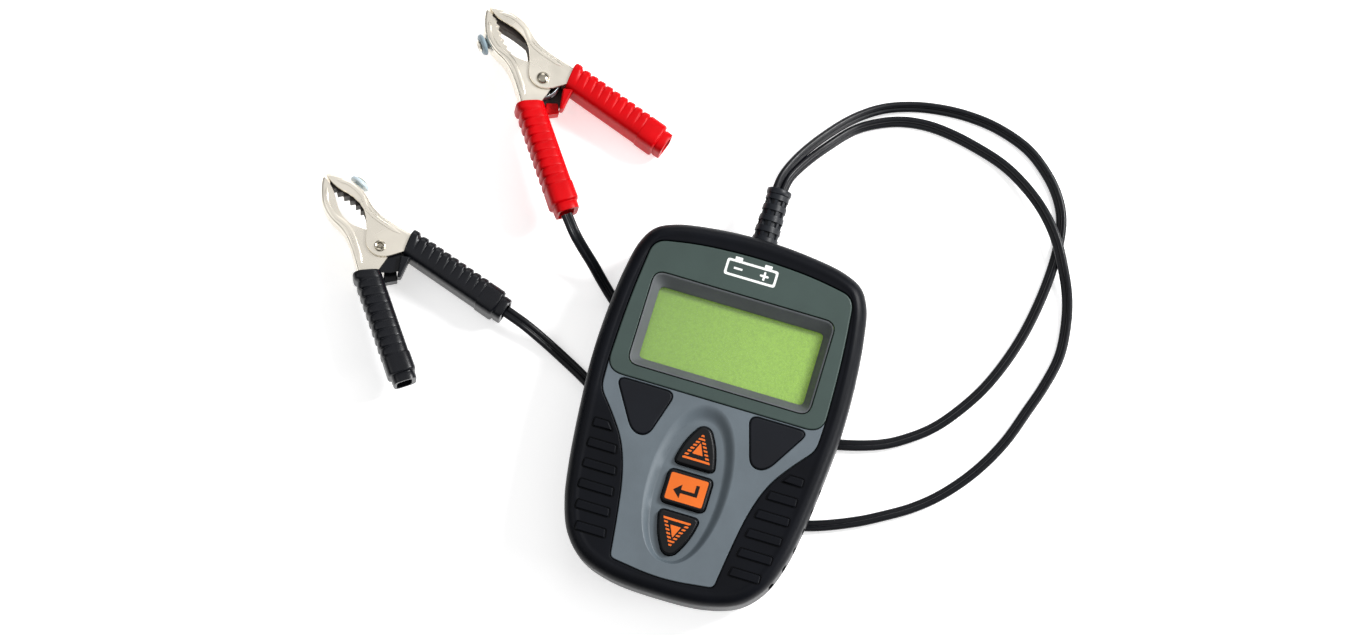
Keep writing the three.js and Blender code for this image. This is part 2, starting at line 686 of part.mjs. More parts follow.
// ---------------------------------------------------------------- leads
// Each route runs from the strain relief, round to the right, under the case and out to its clip.
const leadWidth = 4.1;
const leadThickness = 2.05;
const redRoute = [
  [-1.7, 83.2, 17.3], [-1, 88, 17], [2.4, 96.2, 14.6], [9.2, 107.2, 9.8], [17, 116.8, 6], [25.4, 123.4, 3.4],
  [34.8, 127.3, 1.9], [44.8, 129.2, 1.7], [55.1, 129.6, 1.7], [65.6, 128.3, 1.7], [77.2, 124.3, 1.7],
  [84.9, 118.8, 1.7], [91.1, 112.1, 1.7], [95.2, 104.4, 1.7], [97, 94, 1.7], [96.8, 80, 1.7], [94.5, 63.6, 1.7],
  [91, 50.9, 1.7], [86.1, 39.1, 1.7], [79.8, 28.9, 1.7], [73.7, 21.4, 1.7], [67.2, 15.9, 1.7], [58.4, 10.6, 1.6],
  [44.3, 6.2, 1.4], [25, 3.4, 1.4], [5, 5.8, 1.4], [-15, 12.2, 1.4], [-32, 22, 1.4], [-45.3, 32.5, 1.9],
  [-50, 36.6, 4], [-55, 41.2, 8.2], [-59.8, 45.2, 12.4], [-63.4, 48.6, 14.9], [-67.9, 54, 15.5],
];
const blackRoute = [
  [1.7, 83.2, 14.7], [2.7, 88, 14.3], [5.8, 94.8, 11.6], [10.6, 103.8, 7.5], [18.1, 113.3, 3.6],
  [25.1, 118.1, 2.1], [32.6, 121.1, 1.7], [40.6, 122.3, 1.7], [49, 121.9, 1.7], [59.8, 119.8, 1.7],
  [71.3, 116.1, 2.2], [81.1, 110.3, 3.4], [89, 103.5, 4.8], [95.4, 95.7, 5.4], [100.5, 86.8, 4.6],
  [104.7, 77.7, 2.9], [107, 68.4, 1.9], [107.8, 57, 1.7], [105.6, 45.8, 1.7], [102.4, 35.8, 1.7],
  [97.9, 22.9, 1.7], [91.1, 10.5, 1.7], [82.2, -0.5, 1.7], [74, -7.6, 1.7], [65.3, -13.1, 1.7],
  [56.7, -17.8, 1.6], [41.4, -23.8, 1.4], [22, -27, 1.4], [2, -24.4, 1.4], [-18, -16, 1.4], [-33, -5.4, 1.4],
  [-45.9, 2.7, 1.5], [-55.5, 7.6, 2.1], [-64, 11.5, 3.7], [-71.6, 14.6, 5.6], [-78.8, 17, 6.4],
];

function lead(route) {
  const curve = new THREE.CatmullRomCurve3(route.map((point) => new THREE.Vector3(...point)), false, 'centripetal');
  curve.arcLengthDivisions = 2000;
  const high = leadThickness / 2;
  const wide = leadWidth / 2;
  const section = new THREE.Shape();
  section.moveTo(high, -wide / 2);
  section.lineTo(high, wide / 2);
  section.lineTo(high / 2, wide);
  section.lineTo(-high / 2, wide);
  section.lineTo(-high, wide / 2);
  section.lineTo(-high, -wide / 2);
  section.lineTo(-high / 2, -wide);
  section.lineTo(high / 2, -wide);
  return new THREE.ExtrudeGeometry(section, { steps: 70, extrudePath: curve, bevelEnabled: false });
}

// ---------------------------------------------------------------- assembly
addPart('front_housing', frontHousing(), 'shell');
addPart('back_cover', backCover(), 'shell');
addPart('rubber_boot', rubberBoot(), 'boot');
addPart('face_plate', facePlate(), 'plate');
addPart('display_panel', displayPanel(), 'panel');
addPart('display_surround', displaySurround(), 'surround');
addPart('display_window', box(-30.6, 30.6, 10.8, 39.4, 22.9, surroundBottom - gap), 'window');
addPart('lcd_glass', box(-31.5, 31.5, 8.4, 42.2, 21.2, 22.6), 'display');
addPart('lcd_backlight', box(-30, 30, 12.2, 40.4, boardTop + gap, 20.9), 'backlight');
addPart('zebra_strip', box(-28, 28, 9, 11.6, boardTop + gap, 20.9), 'mat');
addPart('circuit_board', circuitBoard(), 'board');
addPart('keypad_mat', keypadMat(), 'mat');
keys.forEach(({ name, kind, y }) => addPart(name, button(kind, y), 'key'));
addPart('left_pad', pad(-1), 'pad');
addPart('right_pad', pad(1), 'pad');
addPart('strain_relief', strainRelief(), 'boot');

const partTop = boardTop - boardThickness - gap; // parts under the board hang from it
addPart('processor_chip', box(-7, 7, 16, 30, partTop - 1.8, partTop), 'chip');
addPart('load_resistor', box(-12, 12, -16, -7, partTop - 7.6, partTop), 'ceramic');
addPart('power_transistor', box(-26, -16, 14, 29, partTop - 4.6, partTop), 'chip');
addPart('lead_connector', box(-10, 10, 34, 42, partTop - 7, partTop), 'backlight');

screwPlaces.forEach(([x, y], index) => addPart(`case_screw_${index + 1}`, caseScrew(x, y), 'steel'));
footPlaces.forEach(([x, y], index) => addPart(`foot_${index + 1}`, post(x, y, 5.5, 0, footHeight - gap), 'boot'));

clip('red', -1, {
  pivot: [-90.6, 96.9, 11],
  turn: THREE.MathUtils.degToRad(53.9),
  roll: THREE.MathUtils.degToRad(12),
});
clip('black', 1, {
  pivot: [-126.8, 24.7, 9.8],
  turn: THREE.MathUtils.degToRad(54.6),
  roll: THREE.MathUtils.degToRad(9),
});

addPart('red_lead', lead(redRoute), 'lead');
addPart('black_lead', lead(blackRoute), 'lead');

export default group;
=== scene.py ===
import math

import bpy
import numpy as np
from mathutils import Matrix, Vector


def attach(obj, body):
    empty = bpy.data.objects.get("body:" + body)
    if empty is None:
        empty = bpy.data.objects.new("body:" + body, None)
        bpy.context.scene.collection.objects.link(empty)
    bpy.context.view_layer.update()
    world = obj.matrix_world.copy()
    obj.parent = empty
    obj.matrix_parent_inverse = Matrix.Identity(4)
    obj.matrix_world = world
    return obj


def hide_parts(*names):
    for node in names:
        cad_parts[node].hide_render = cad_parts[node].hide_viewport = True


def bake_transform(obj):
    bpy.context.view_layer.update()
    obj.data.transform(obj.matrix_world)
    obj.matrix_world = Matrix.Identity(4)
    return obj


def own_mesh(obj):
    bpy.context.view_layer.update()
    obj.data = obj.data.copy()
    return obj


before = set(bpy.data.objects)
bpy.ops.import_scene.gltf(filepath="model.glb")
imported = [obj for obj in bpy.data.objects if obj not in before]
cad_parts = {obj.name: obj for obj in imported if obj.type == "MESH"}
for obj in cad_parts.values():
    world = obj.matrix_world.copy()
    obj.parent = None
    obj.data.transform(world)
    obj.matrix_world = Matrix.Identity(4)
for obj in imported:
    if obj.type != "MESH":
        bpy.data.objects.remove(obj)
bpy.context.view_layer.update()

# ---- driving sizes, in millimetres
MM = 0.001
GAP = 0.3
RIM_TOP = 28.6
LEDGE_TOP = 28.25  # the sunken rubber that carries the grip ribs
PLATE_TOP = 28.0
PANEL_TOP = 28.3
PLATE_BOTTOM = 26.3
DISH_FLOOR = 25.4
DISH_SKIN = 0.8
KEY_TOP = 27.4
WALL_INSET = 2.2
EXIT_HEIGHT = 16.0
RELIEF_END = 82.8
CORE_RADIUS = 1.025  # one of the two cores of a lead
INK_DEPTH = 0.05  # how far the printed marks stand in and out of their surface
BELOW, ABOVE = 20, 40  # levels that are clear of the face pieces, for cutters
TURN_Y = Matrix(((1, 0, 0, 0), (0, 0, 1, 0), (0, -1, 0, 0), (0, 0, 0, 1)))  # local Z laid along +Y


# ---- outlines
def rounded(corners, steps=8):
    """A closed outline whose corners (x, y, reach, extra...) are rounded by quadratic curves."""
    points = []
    for index, corner in enumerate(corners):
        here = np.array(corner[:2])
        extra = list(corner[3:])
        before = np.array(corners[index - 1][:2]) - here
        after = np.array(corners[(index + 1) % len(corners)][:2]) - here
        first = here + before * min(corner[2] / np.linalg.norm(before), 0.49)
        last = here + after * min(corner[2] / np.linalg.norm(after), 0.49)
        for step in range(steps + 1):
            t = step / steps
            spot = (1 - t) ** 2 * first + 2 * t * (1 - t) * here + t * t * last
            points.append([*spot, *extra])
    return np.array(points)


def mirrored(half):
    """The right half of a symmetric outline, top to bottom, with its mirror image added."""
    left = [(-corner[0], *corner[1:]) for corner in reversed(half) if corner[0] > 0]
    return list(half) + left


def spaced(points, count):
    """The same closed outline with evenly spaced points, anticlockwise."""
    x, y = points[:, 0], points[:, 1]
    if np.sum(x * np.roll(y, -1) - np.roll(x, -1) * y) < 0:
        points = points[::-1]
    ring = np.vstack([points, points[:1]])
    reach = np.concatenate([[0], np.cumsum(np.linalg.norm(np.diff(ring[:, :2], axis=0), axis=1))])
    stops = np.linspace(0, reach[-1], count, endpoint=False)
    return np.column_stack([np.interp(stops, reach, ring[:, axis]) for axis in range(ring.shape[1])])


def grown(loop, distance):
    """The outline moved outwards, times each point's own share where the outline carries one."""
    along = np.roll(loop[:, :2], -1, axis=0) - np.roll(loop[:, :2], 1, axis=0)
    along /= np.linalg.norm(along, axis=1)[:, None]
    share = loop[:, 2:3] if loop.shape[1] > 2 else 1.0
    out = np.column_stack([along[:, 1], -along[:, 0]]) * distance * share
    return np.column_stack([loop[:, :2] + out, loop[:, 2:]])


def catmull(points, per_span, closed=False):
    """A centripetal Catmull-Rom curve through the points."""
    points = np.array(points, float)
    if closed:
        ends = np.vstack([points[-1:], points, points[:2]])
    else:
        ends = np.vstack([2 * points[:1] - points[1:2], points, 2 * points[-1:] - points[-2:-1]])
    curve = []
    for index in range(len(ends) - 3):
        p0, p1, p2, p3 = ends[index : index + 4]
        d1, d2, d3 = (max(np.linalg.norm(b - a) ** 0.5, 1e-6) for a, b in ((p0, p1), (p1, p2), (p2, p3)))
        m1 = (p1 - p0) / d1 - (p2 - p0) / (d1 + d2) + (p2 - p1) / d2
        m2 = (p2 - p1) / d2 - (p3 - p1) / (d2 + d3) + (p3 - p2) / d3
        for step in range(per_span):
            t = step / per_span
            h = (2 * t**3 - 3 * t**2 + 1, t**3 - 2 * t**2 + t, -2 * t**3 + 3 * t**2, t**3 - t**2)
            curve.append(h[0] * p1 + h[1] * m1 * d2 + h[2] * p2 + h[3] * m2 * d2)
    if not closed:
        curve.append(points[-1])
    return np.array(curve)


# Right halves, top to bottom: (x, y) on a smooth curve, or (x, y, reach) with rounded corners.
CASE_HALF = [
    (0, 63), (17, 62), (30, 59.7), (36.6, 56.4), (40.2, 50.5), (42.4, 40), (43.9, 24), (44.2, 8),
    (43, -10), (40.9, -29), (38.6, -41), (34.6, -51), (28, -58), (17, -61.9), (0, -63),
]
PANEL_HALF = [(0, 55.8, 12), (20, 54.7, 8), (35.2, 51.9, 4.5), (37.4, 30, 12), (38, 4.7, 6)]
PLATE_HALF = [
    (38, 12, 1), (37.5, -1.6, 3), (31.6, -8.4, 6), (25.4, -17, 6), (21.6, -28.5, 8), (19.4, -43, 8),
    (17.9, -55.3, 1.6), (0, -57.6, 10),
]
OPENING_HALF = PANEL_HALF[:4] + [(37.95, 6, 6)] + PLATE_HALF[1:]
PAD = [(13, 3.7, 3.4), (33.6, 3.7, 3.6), (23.4, -12.9, 4), (18, -12.9, 3.4)]  # all of the right pad
UP_Y, ENTER_Y, DOWN_Y = -11.7, -26.5, -41.5
KEYS = [
    ("up_button", "up_key", UP_Y),
    ("enter_button", "enter_key", ENTER_Y),
    ("down_button", "down_key", DOWN_Y),
]  # node, body and place along the case
KEY_HALF = [(1.8, 7.4, 2), (5.4, 1, 5), (7.1, -6.8, 2.2)]


def case_loop(inset, count=420):
    """The outline of the case, moved inwards."""
    left = [(-x, y) for x, y in reversed(CASE_HALF[1:-1])]
    return grown(spaced(catmull(CASE_HALF + left, 20, True), count), -inset)


def rectangle(half_width, y0, y1, radius, count=160):
    corners = [(half_width, y1), (-half_width, y1), (-half_width, y0), (half_width, y0)]
    return spaced(rounded([(x, y, radius) for x, y in corners], 10), count)


def oval(half_width, top, bottom, count=160):
    """The oval of the key dish, a little fuller than an ellipse."""
    angle = np.linspace(0, 2 * math.pi, count, endpoint=False)
    side = np.sin(angle)
    x = -half_width * np.sign(side) * np.abs(side) ** 0.9
    return np.column_stack([x, (top + bottom) / 2 + (top - bottom) / 2 * np.cos(angle)])


def key_loop(name, y):
    if name == "enter_button":
        return rectangle(7.6, y - 5.8, y + 5.8, 2, 120)
    way = 1 if name == "up_button" else -1
    loop = spaced(rounded(mirrored([(x, way * h, reach) for x, h, reach in KEY_HALF])), 120)
    return loop + [0, y]


def pad_loop(side):
    return spaced(rounded([(side * x, y, reach) for x, y, reach in PAD]), 120)


# ---- shells: (points, faces) in millimetres
def level(loop, z):
    return np.column_stack([loop[:, :2], np.full(len(loop), float(z))])


def loft(rings, closed=False):
    """A skin through rings of equal count, with its ends capped unless it closes on itself."""
    count = len(rings[0])
    faces = []
    for ring in range(len(rings) if closed else len(rings) - 1):
        low, high = ring * count, (ring + 1) % len(rings) * count
        for index in range(count):
            after = (index + 1) % count
            faces.append((low + index, low + after, high + after, high + index))
    if not closed:
        faces.append(tuple(range(count))[::-1])
        faces.append(tuple(range((len(rings) - 1) * count, len(rings) * count)))
    return facing_out(np.concatenate(rings), faces)


def facing_out(points, faces):
    """The shell with its faces turned over if they enclose a negative volume."""
    volume = 0.0
    for face in faces:
        corner = points[list(face)]
        volume += np.sum(np.cross(corner[1:-1], corner[2:]) @ corner[0])
    return points, [face[::-1] for face in faces] if volume < 0 else faces


def quarter(radius, steps=4):
    """Steps round a quarter circle, as (inset, height below the end)."""
    turn = [math.pi / 2 * step / steps for step in range(steps + 1)]
    return [(radius * (1 - math.cos(a)), radius * (1 - math.sin(a))) for a in turn]


def slab(loop, z0, z1, edge=0.0):
    """An upright slab with a rounded top edge."""
    rings = [level(loop, z0)]
    if edge:
        rings += [level(grown(loop, -inset), z1 - drop) for inset, drop in quarter(edge)]
    else:
        rings.append(level(loop, z1))
    return loft(rings)


def hole(loop, z0, z1, flare=0.0):
    """A cutter that leaves a rounded edge where it comes out at z1."""
    rings = [level(loop, z0)]
    rings += [level(grown(loop, inset), z1 - drop) for inset, drop in quarter(flare)[:-1]] if flare else []
    rings.append(level(grown(loop, flare), z1 + 3))
    return loft(rings)


def lathe(profile, count=32):
    """A turned solid about Z through (radius, height) pairs, lowest first."""
    angle = np.linspace(0, 2 * math.pi, count, endpoint=False)
    unit = np.column_stack([np.cos(angle), np.sin(angle)])
    return loft([level(unit * max(radius, 0.02), height) for radius, height in profile])


def sweep(path, section, wide, scale=None):
    """A section (across, up) carried along a path, whose wide axes are given for each point."""
    tangent = np.gradient(path, axis=0)
    tangent /= np.linalg.norm(tangent, axis=1)[:, None]
    rings = []
    for index, (spot, along, across) in enumerate(zip(path, tangent, wide)):
        across = across - along * np.dot(across, along)
        across /= np.linalg.norm(across)
        up = np.cross(along, across)
        size = 1.0 if scale is None else scale[index]
        rings.append(spot + size * (section[:, :1] * across + section[:, 1:] * up))
    return loft(rings)


def moved(shell, matrix):
    points, faces = shell
    turn = np.array(matrix)
    return points @ turn[:3, :3].T + turn[:3, 3], faces


def together(*shells):
    """Several closed shells as one."""
    points, faces, start = [], [], 0
    for part, skin in shells:
        points.append(part)
        faces += [tuple(index + start for index in face) for face in skin]
        start += len(part)
    return np.concatenate(points), faces


def loose_object(shell, name="shell"):
    mesh = bpy.data.meshes.new(name)
    mesh.from_pydata(shell[0].tolist(), [], shell[1])
    obj = bpy.data.objects.new(name, mesh)
    bpy.context.scene.collection.objects.link(obj)
    return obj


def combined(base, tool, operation):
    first, second = loose_object(base), loose_object(tool)
    modifier = first.modifiers.new("combine", "BOOLEAN")
    modifier.operation = operation
    modifier.object = second
    modifier.solver = "MANIFOLD"
    graph = bpy.context.evaluated_depsgraph_get()
    mesh = bpy.data.meshes.new_from_object(first.evaluated_get(graph))
    points = np.array([vertex.co for vertex in mesh.vertices], float).reshape(-1, 3)
    faces = [tuple(face.vertices) for face in mesh.polygons]
    for used in (first.data, second.data, mesh):
        bpy.data.meshes.remove(used)
    return points, faces


def cut(base, *tools):
    for tool in tools:
        base = combined(base, tool, "DIFFERENCE")
    return base


def fused(base, *tools):
    for tool in tools:
        base = combined(base, tool, "UNION")
    return base


# ---- materials
def new_material(name):
    material = bpy.data.materials.new(name)
    material.use_nodes = True
    nodes = material.node_tree.nodes
    return material, nodes, material.node_tree.links, nodes["Principled BSDF"]


def noise_from(nodes, links, scale, detail=3.0, rough=0.55):
    """A noise of object coordinates, whose scale is in features a metre."""
    place = nodes.new("ShaderNodeTexCoord")
    texture = nodes.new("ShaderNodeTexNoise")
    texture.inputs["Scale"].default_value = scale
    texture.inputs["Detail"].default_value = detail
    texture.inputs["Roughness"].default_value = rough
    links.new(place.outputs["Object"], texture.inputs["Vector"])
    return texture


def ramp_from(nodes, links, source, low, high, start=0.35, end=0.65):
    """A colour ramp of a texture's value between two colours."""
    ramp = nodes.new("ShaderNodeValToRGB")
    ramp.color_ramp.elements[0].position = start
    ramp.color_ramp.elements[1].position = end
    ramp.color_ramp.elements[0].color = (*low, 1)
    ramp.color_ramp.elements[1].color = (*high, 1)
    links.new(source, ramp.inputs["Fac"])
    return ramp.outputs["Color"]


def range_from(nodes, links, source, low, high, start=0.3, end=0.7):
    span = nodes.new("ShaderNodeMapRange")
    for socket, value in (("From Min", start), ("From Max", end), ("To Min", low), ("To Max", high)):
        span.inputs[socket].default_value = value
    links.new(source, span.inputs["Value"])
    return span.outputs["Result"]


def linear(hex_colour):
    """A written sRGB colour as linear light."""
    parts = [int(hex_colour[index : index + 2], 16) / 255 for index in (1, 3, 5)]
    return tuple(p / 12.92 if p <= 0.04045 else ((p + 0.055) / 1.055) ** 2.4 for p in parts)


def plastic(name, colour, roughness, grain, depth, spread=0.12, metallic=0.0, gloss=0.5, patches=90):
    """Moulded material: fine grain in the surface, and faint patches of colour and gloss."""
    material, nodes, links, shader = new_material(name)
    base = linear(colour)
    broad = noise_from(nodes, links, patches, 4.0)
    darker = tuple(c * (1 - spread) for c in base)
    lighter = tuple(min(c * (1 + spread), 1) for c in base)
    links.new(ramp_from(nodes, links, broad.outputs["Fac"], darker, lighter), shader.inputs["Base Color"])
    fine = noise_from(nodes, links, grain, 2.0, 0.6)
    links.new(
        range_from(nodes, links, fine.outputs["Fac"], roughness - 0.06, roughness + 0.06),
        shader.inputs["Roughness"],
    )
    bump = nodes.new("ShaderNodeBump")
    bump.inputs["Strength"].default_value = 1.0
    bump.inputs["Distance"].default_value = depth * MM
    links.new(fine.outputs["Fac"], bump.inputs["Height"])
    links.new(bump.outputs["Normal"], shader.inputs["Normal"])
    shader.inputs["Metallic"].default_value = metallic
    shader.inputs["Specular IOR Level"].default_value = gloss
    return material


def display_material():
    """A reflective display: yellow-green, brighter to the right, with a fine mottle, and a faint painted glow
    that lifts it out of the shade of its recess.
    """
    material, nodes, links, shader = new_material("display_green")
    place = nodes.new("ShaderNodeTexCoord")
    split = nodes.new("ShaderNodeSeparateXYZ")
    links.new(place.outputs["Object"], split.inputs["Vector"])
    across = range_from(nodes, links, split.outputs["X"], 0.0, 1.0, -0.03, 0.03)
    tint = ramp_from(nodes, links, across, linear("#6a8f20"), linear("#86af32"), 0.0, 1.0)
    mottle = noise_from(nodes, links, 1700, 3.0, 0.75)
    speck = ramp_from(nodes, links, mottle.outputs["Fac"], (0.72, 0.74, 0.70), (1.0, 1.0, 1.0), 0.35, 0.62)
    mix = nodes.new("ShaderNodeMix")
    mix.data_type = "RGBA"
    mix.blend_type = "MULTIPLY"
    mix.inputs["Factor"].default_value = 1.0
    links.new(tint, mix.inputs["A"])
    links.new(speck, mix.inputs["B"])
    links.new(mix.outputs["Result"], shader.inputs["Base Color"])
    # Painted glow: the display gives off light of its own, though it is no lamp.
    links.new(mix.outputs["Result"], shader.inputs["Emission Color"])
    shader.inputs["Emission Strength"].default_value = 0.25
    shader.inputs["Specular IOR Level"].default_value = 0.1
    links.new(range_from(nodes, links, mottle.outputs["Fac"], 0.35, 0.55), shader.inputs["Roughness"])
    return material


def clear_material():
    """The clear window: almost all light goes through, and a faint gloss shows."""
    material, nodes, links, shader = new_material("clear_window")
    haze = noise_from(nodes, links, 60, 2.0)
    links.new(range_from(nodes, links, haze.outputs["Fac"], 0.05, 0.12), shader.inputs["Roughness"])
    shader.inputs["Base Color"].default_value = (0.9, 0.95, 0.9, 1)
    shader.inputs["Alpha"].default_value = 0.05
    return material


# Name, colour, roughness, grain in features a metre, depth of the grain in mm, and spread of the patches.
RUBBER = plastic("boot_rubber", "#080a10", 0.4, 5200, 0.012, 0.15, gloss=0.12)
GRIP = plastic("pad_rubber", "#0b0e15", 0.5, 5200, 0.015, 0.12, gloss=0.2)
PLATE = plastic("plate_grey", "#5a646b", 0.46, 2600, 0.03, 0.06)
PANEL = plastic("panel_green", "#33433f", 0.42, 3800, 0.012, 0.06)
SURROUND = plastic("surround_grey", "#56595c", 0.5, 3000, 0.02, 0.08, gloss=0.3)
KEY = plastic("key_black", "#090a0d", 0.38, 5200, 0.01, 0.12, gloss=0.25)
ORANGE = plastic("print_orange", "#df6a1e", 0.5, 4200, 0.01, 0.06, gloss=0.3)
WHITE = plastic("print_white", "#eef1ee", 0.5, 4200, 0.01, 0.03)
INK = plastic("print_black", "#120e0c", 0.55, 4200, 0.01, 0.1, gloss=0.2)
SHELL = plastic("housing_black", "#24262a", 0.55, 3600, 0.025, 0.1)
BOARD = plastic("board_green", "#1f6b3a", 0.45, 1800, 0.01, 0.15)
CHIP = plastic("chip_black", "#16171a", 0.5, 4200, 0.01, 0.1)
CERAMIC = plastic("ceramic_white", "#d9d4c6", 0.75, 3000, 0.04, 0.08)
MAT = plastic("mat_silicone", "#55585c", 0.7, 3600, 0.01, 0.08)
WHITE_PLASTIC = plastic("plastic_white", "#e2e6dc", 0.5, 3600, 0.01, 0.04)
STEEL = plastic("steel", "#9aa0a4", 0.32, 2600, 0.001, 0.1, metallic=1.0)
NICKEL = plastic("nickel", "#f6efe1", 0.28, 90, 0.0, 0.03, metallic=0.92, patches=60)
# A darker copy of the nickel: painted shade that stands in for the dark reflections on the rivet's dome.
SHADED_RIVET = plastic("rivet_nickel_darkened", "#b4ad9e", 0.2, 90, 0.0, 0.05, metallic=1.0, patches=160)
# The dark_contact material also colours the red clip's web, where it is painted shade.
DARK_CONTACT_AND_SHADE = plastic("dark_contact", "#241c17", 0.5, 2600, 0.02, 0.2)
LINER = plastic("jaw_liner", "#2c221d", 0.55, 2400, 0.02, 0.2)
BLUE_GREY = plastic("insulator_blue", "#8fa3ad", 0.35, 2600, 0.012, 0.12)
PALE = plastic("insulator_pale", "#b9c8cf", 0.3, 2600, 0.012, 0.1)
RED_PVC = plastic("sleeve_red", "#c20008", 0.34, 2800, 0.012, 0.08, gloss=0.12)
BLACK_PVC = plastic("sleeve_black", "#0a0c12", 0.3, 2800, 0.012, 0.12, gloss=0.28)
LEAD_PVC = plastic("lead_pvc", "#0a0c11", 0.33, 900, 0.001, 0.12, gloss=0.25)
RELIEF = plastic("relief_pvc", "#10141b", 0.4, 3600, 0.008, 0.12, gloss=0.3)
DISPLAY = display_material()
CLEAR = clear_material()


# ---- making pieces
def piece(name, shell, material, body="tester", replaces=(), slot=None, place=None, sharp=38, free=False):
    """A mesh piece in metres, smooth but for its sharp edges, riding on its body."""
    if place is not None:
        shell = moved(shell, place)
    obj = loose_object((shell[0] * MM, shell[1]), name)
    mesh = obj.data
    mesh.name = name
    mesh.materials.append(material)
    mesh.shade_smooth()
    mesh.set_sharp_from_angle(angle=math.radians(sharp))
    modifier = obj.modifiers.new("even_normals", "WEIGHTED_NORMAL")
    modifier.keep_sharp = True
    if not free:
        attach(obj, body)
    if replaces:
        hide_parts(*replaces)
    return obj


def paint(material, *nodes):
    for node in nodes:
        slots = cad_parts[node].data.materials
        slots.clear()
        slots.append(material)


# ---- camera, floor and lights
camera = bpy.data.objects.new("camera", bpy.data.cameras.new("camera"))
bpy.context.scene.collection.objects.link(camera)
camera.location = (0.06176, -0.13244, 1.06978)
camera.rotation_euler = [math.radians(angle) for angle in (9.679, 1.630, 16.908)]
camera.data.sensor_width = 36
camera.data.lens = 82.68
bpy.context.scene.camera = camera

AIM = np.array([-0.02, 0.03, 0.01])


def area_light(name, place, size, power):
    light = bpy.data.lights.new(name, "AREA")
    light.shape = "DISK"
    light.size = size
    light.energy = power
    obj = bpy.data.objects.new(name, light)
    bpy.context.scene.collection.objects.link(obj)
    away = np.array(place) - AIM
    away /= np.linalg.norm(away)
    right = np.cross([0, 0, 1], away)
    right /= np.linalg.norm(right)
    turn = np.column_stack([right, np.cross(away, right), away])
    obj.matrix_world = Matrix.Translation(place) @ Matrix(turn.tolist()).to_4x4()


area_light("key_light", (0.62, 0.58, 0.72), 0.34, 12.8)
area_light("side_light", (1.05, 0.05, 0.3), 0.5, 5.5)
area_light("fill_light", (-0.8, -0.3, 0.9), 0.7, 1.2)
area_light("back_light", (-0.2, 0.95, 0.5), 0.5, 1.5)


def studio_world():
    """Plain white surroundings, darker towards the horizon."""
    world = bpy.data.worlds.new("studio")
    bpy.context.scene.world = world
    world.use_nodes = True
    nodes, links = world.node_tree.nodes, world.node_tree.links
    place = nodes.new("ShaderNodeTexCoord")
    split = nodes.new("ShaderNodeSeparateXYZ")
    links.new(place.outputs["Generated"], split.inputs["Vector"])
    shade = range_from(nodes, links, split.outputs["Z"], 0.08, 0.8, 0.38, 1.0)
    links.new(shade, nodes["Background"].inputs["Strength"])
    nodes["Background"].inputs["Color"].default_value = (1, 1, 1, 1)


studio_world()
bpy.context.scene.view_settings.view_transform = "Standard"

FLOOR = 3.0  # metres from the middle of the floor to its sides


def pale_floor():
    mesh = bpy.data.meshes.new("floor")
    corners = [(-FLOOR, -FLOOR, 0), (FLOOR, -FLOOR, 0), (FLOOR, FLOOR, 0), (-FLOOR, FLOOR, 0)]
    mesh.from_pydata(corners, [], [(0, 1, 2, 3)])
    obj = bpy.data.objects.new("floor", mesh)
    bpy.context.scene.collection.objects.link(obj)
    white = plastic("floor_white", "#f7f7f7", 0.9, 400, 0.01, 0.005)
    shader = white.node_tree.nodes["Principled BSDF"]
    shader.inputs["Emission Color"].default_value = (1, 1, 1, 1)
    shader.inputs["Emission Strength"].default_value = 0.5
    mesh.materials.append(white)
    return obj


floor = pale_floor()

# ---- leads
# Each route runs from inside the relief's collar, round to the right, under the case and out to its clip.
RED_ROUTE = [
    (-1.25, 80.5, 16.7), (-1.25, 83.2, 16.8), (-0.6, 88, 16.5), (2.6, 96.2, 14.2), (9.2, 107.2, 9.8),
    (17, 116.8, 6), (25.4, 123.4, 3.4), (34.8, 127.3, 1.9), (44.8, 129.2, 1.7), (55.1, 129.6, 1.7),
    (65.6, 128.3, 1.7), (77.2, 124.3, 1.7), (84.9, 118.8, 1.7), (91.1, 112.1, 1.7), (95.2, 104.4, 1.7),
    (97, 94, 1.7), (96.8, 80, 1.7), (94.5, 63.6, 1.7), (91, 50.9, 1.7), (86.1, 39.1, 1.7),
    (79.8, 28.9, 1.7), (73.7, 21.4, 1.7), (67.2, 15.9, 1.7), (58.4, 10.6, 1.6), (44.3, 6.2, 1.4),
    (25, 3.4, 1.4), (5, 5.8, 1.4), (-15, 12.2, 1.4), (-32, 22, 1.4), (-45.3, 32.5, 1.9), (-50, 36.6, 4),
    (-55, 41.2, 8.2), (-59.8, 45.2, 12.4), (-63.4, 48.6, 14.9), (-67.9, 54, 15.5),
]
BLACK_ROUTE = [
    (1.25, 80.5, 15.3), (1.25, 83.2, 15.2), (2.0, 88, 14.7), (5.2, 95, 12.0), (10.6, 103.8, 7.5),
    (18.1, 113.3, 3.6), (25.1, 118.1, 2.1), (32.6, 121.1, 1.7), (40.6, 122.3, 1.7), (49, 121.9, 1.7),
    (59.8, 119.8, 1.7), (71.3, 116.1, 2.2), (81.1, 110.3, 3.4), (89, 103.5, 4.8), (95.4, 95.7, 5.4),
    (100.5, 86.8, 4.6), (104.7, 77.7, 2.9), (107, 68.4, 1.9), (107.8, 57, 1.7), (105.6, 45.8, 1.7),
    (102.4, 35.8, 1.7), (97.9, 22.9, 1.7), (91.1, 10.5, 1.7), (82.2, -0.5, 1.7), (74, -7.6, 1.7),
    (65.3, -13.1, 1.7), (56.7, -17.8, 1.6), (41.4, -23.8, 1.4), (22, -27, 1.4), (2, -24.4, 1.4),
    (-18, -16, 1.4), (-33, -5.4, 1.4), (-45.9, 2.7, 1.5), (-55.5, 7.6, 2.1), (-64, 11.5, 3.7),
    (-71.6, 14.6, 5.6), (-78.8, 17, 6.4),
]


def twin_section():
    """Two round cores side by side, with a waist between them."""
    turn = np.radians(np.linspace(-152, 152, 15))
    right = np.column_stack([CORE_RADIUS + CORE_RADIUS * np.cos(turn), CORE_RADIUS * np.sin(turn)])
    return np.vstack([right, -right])


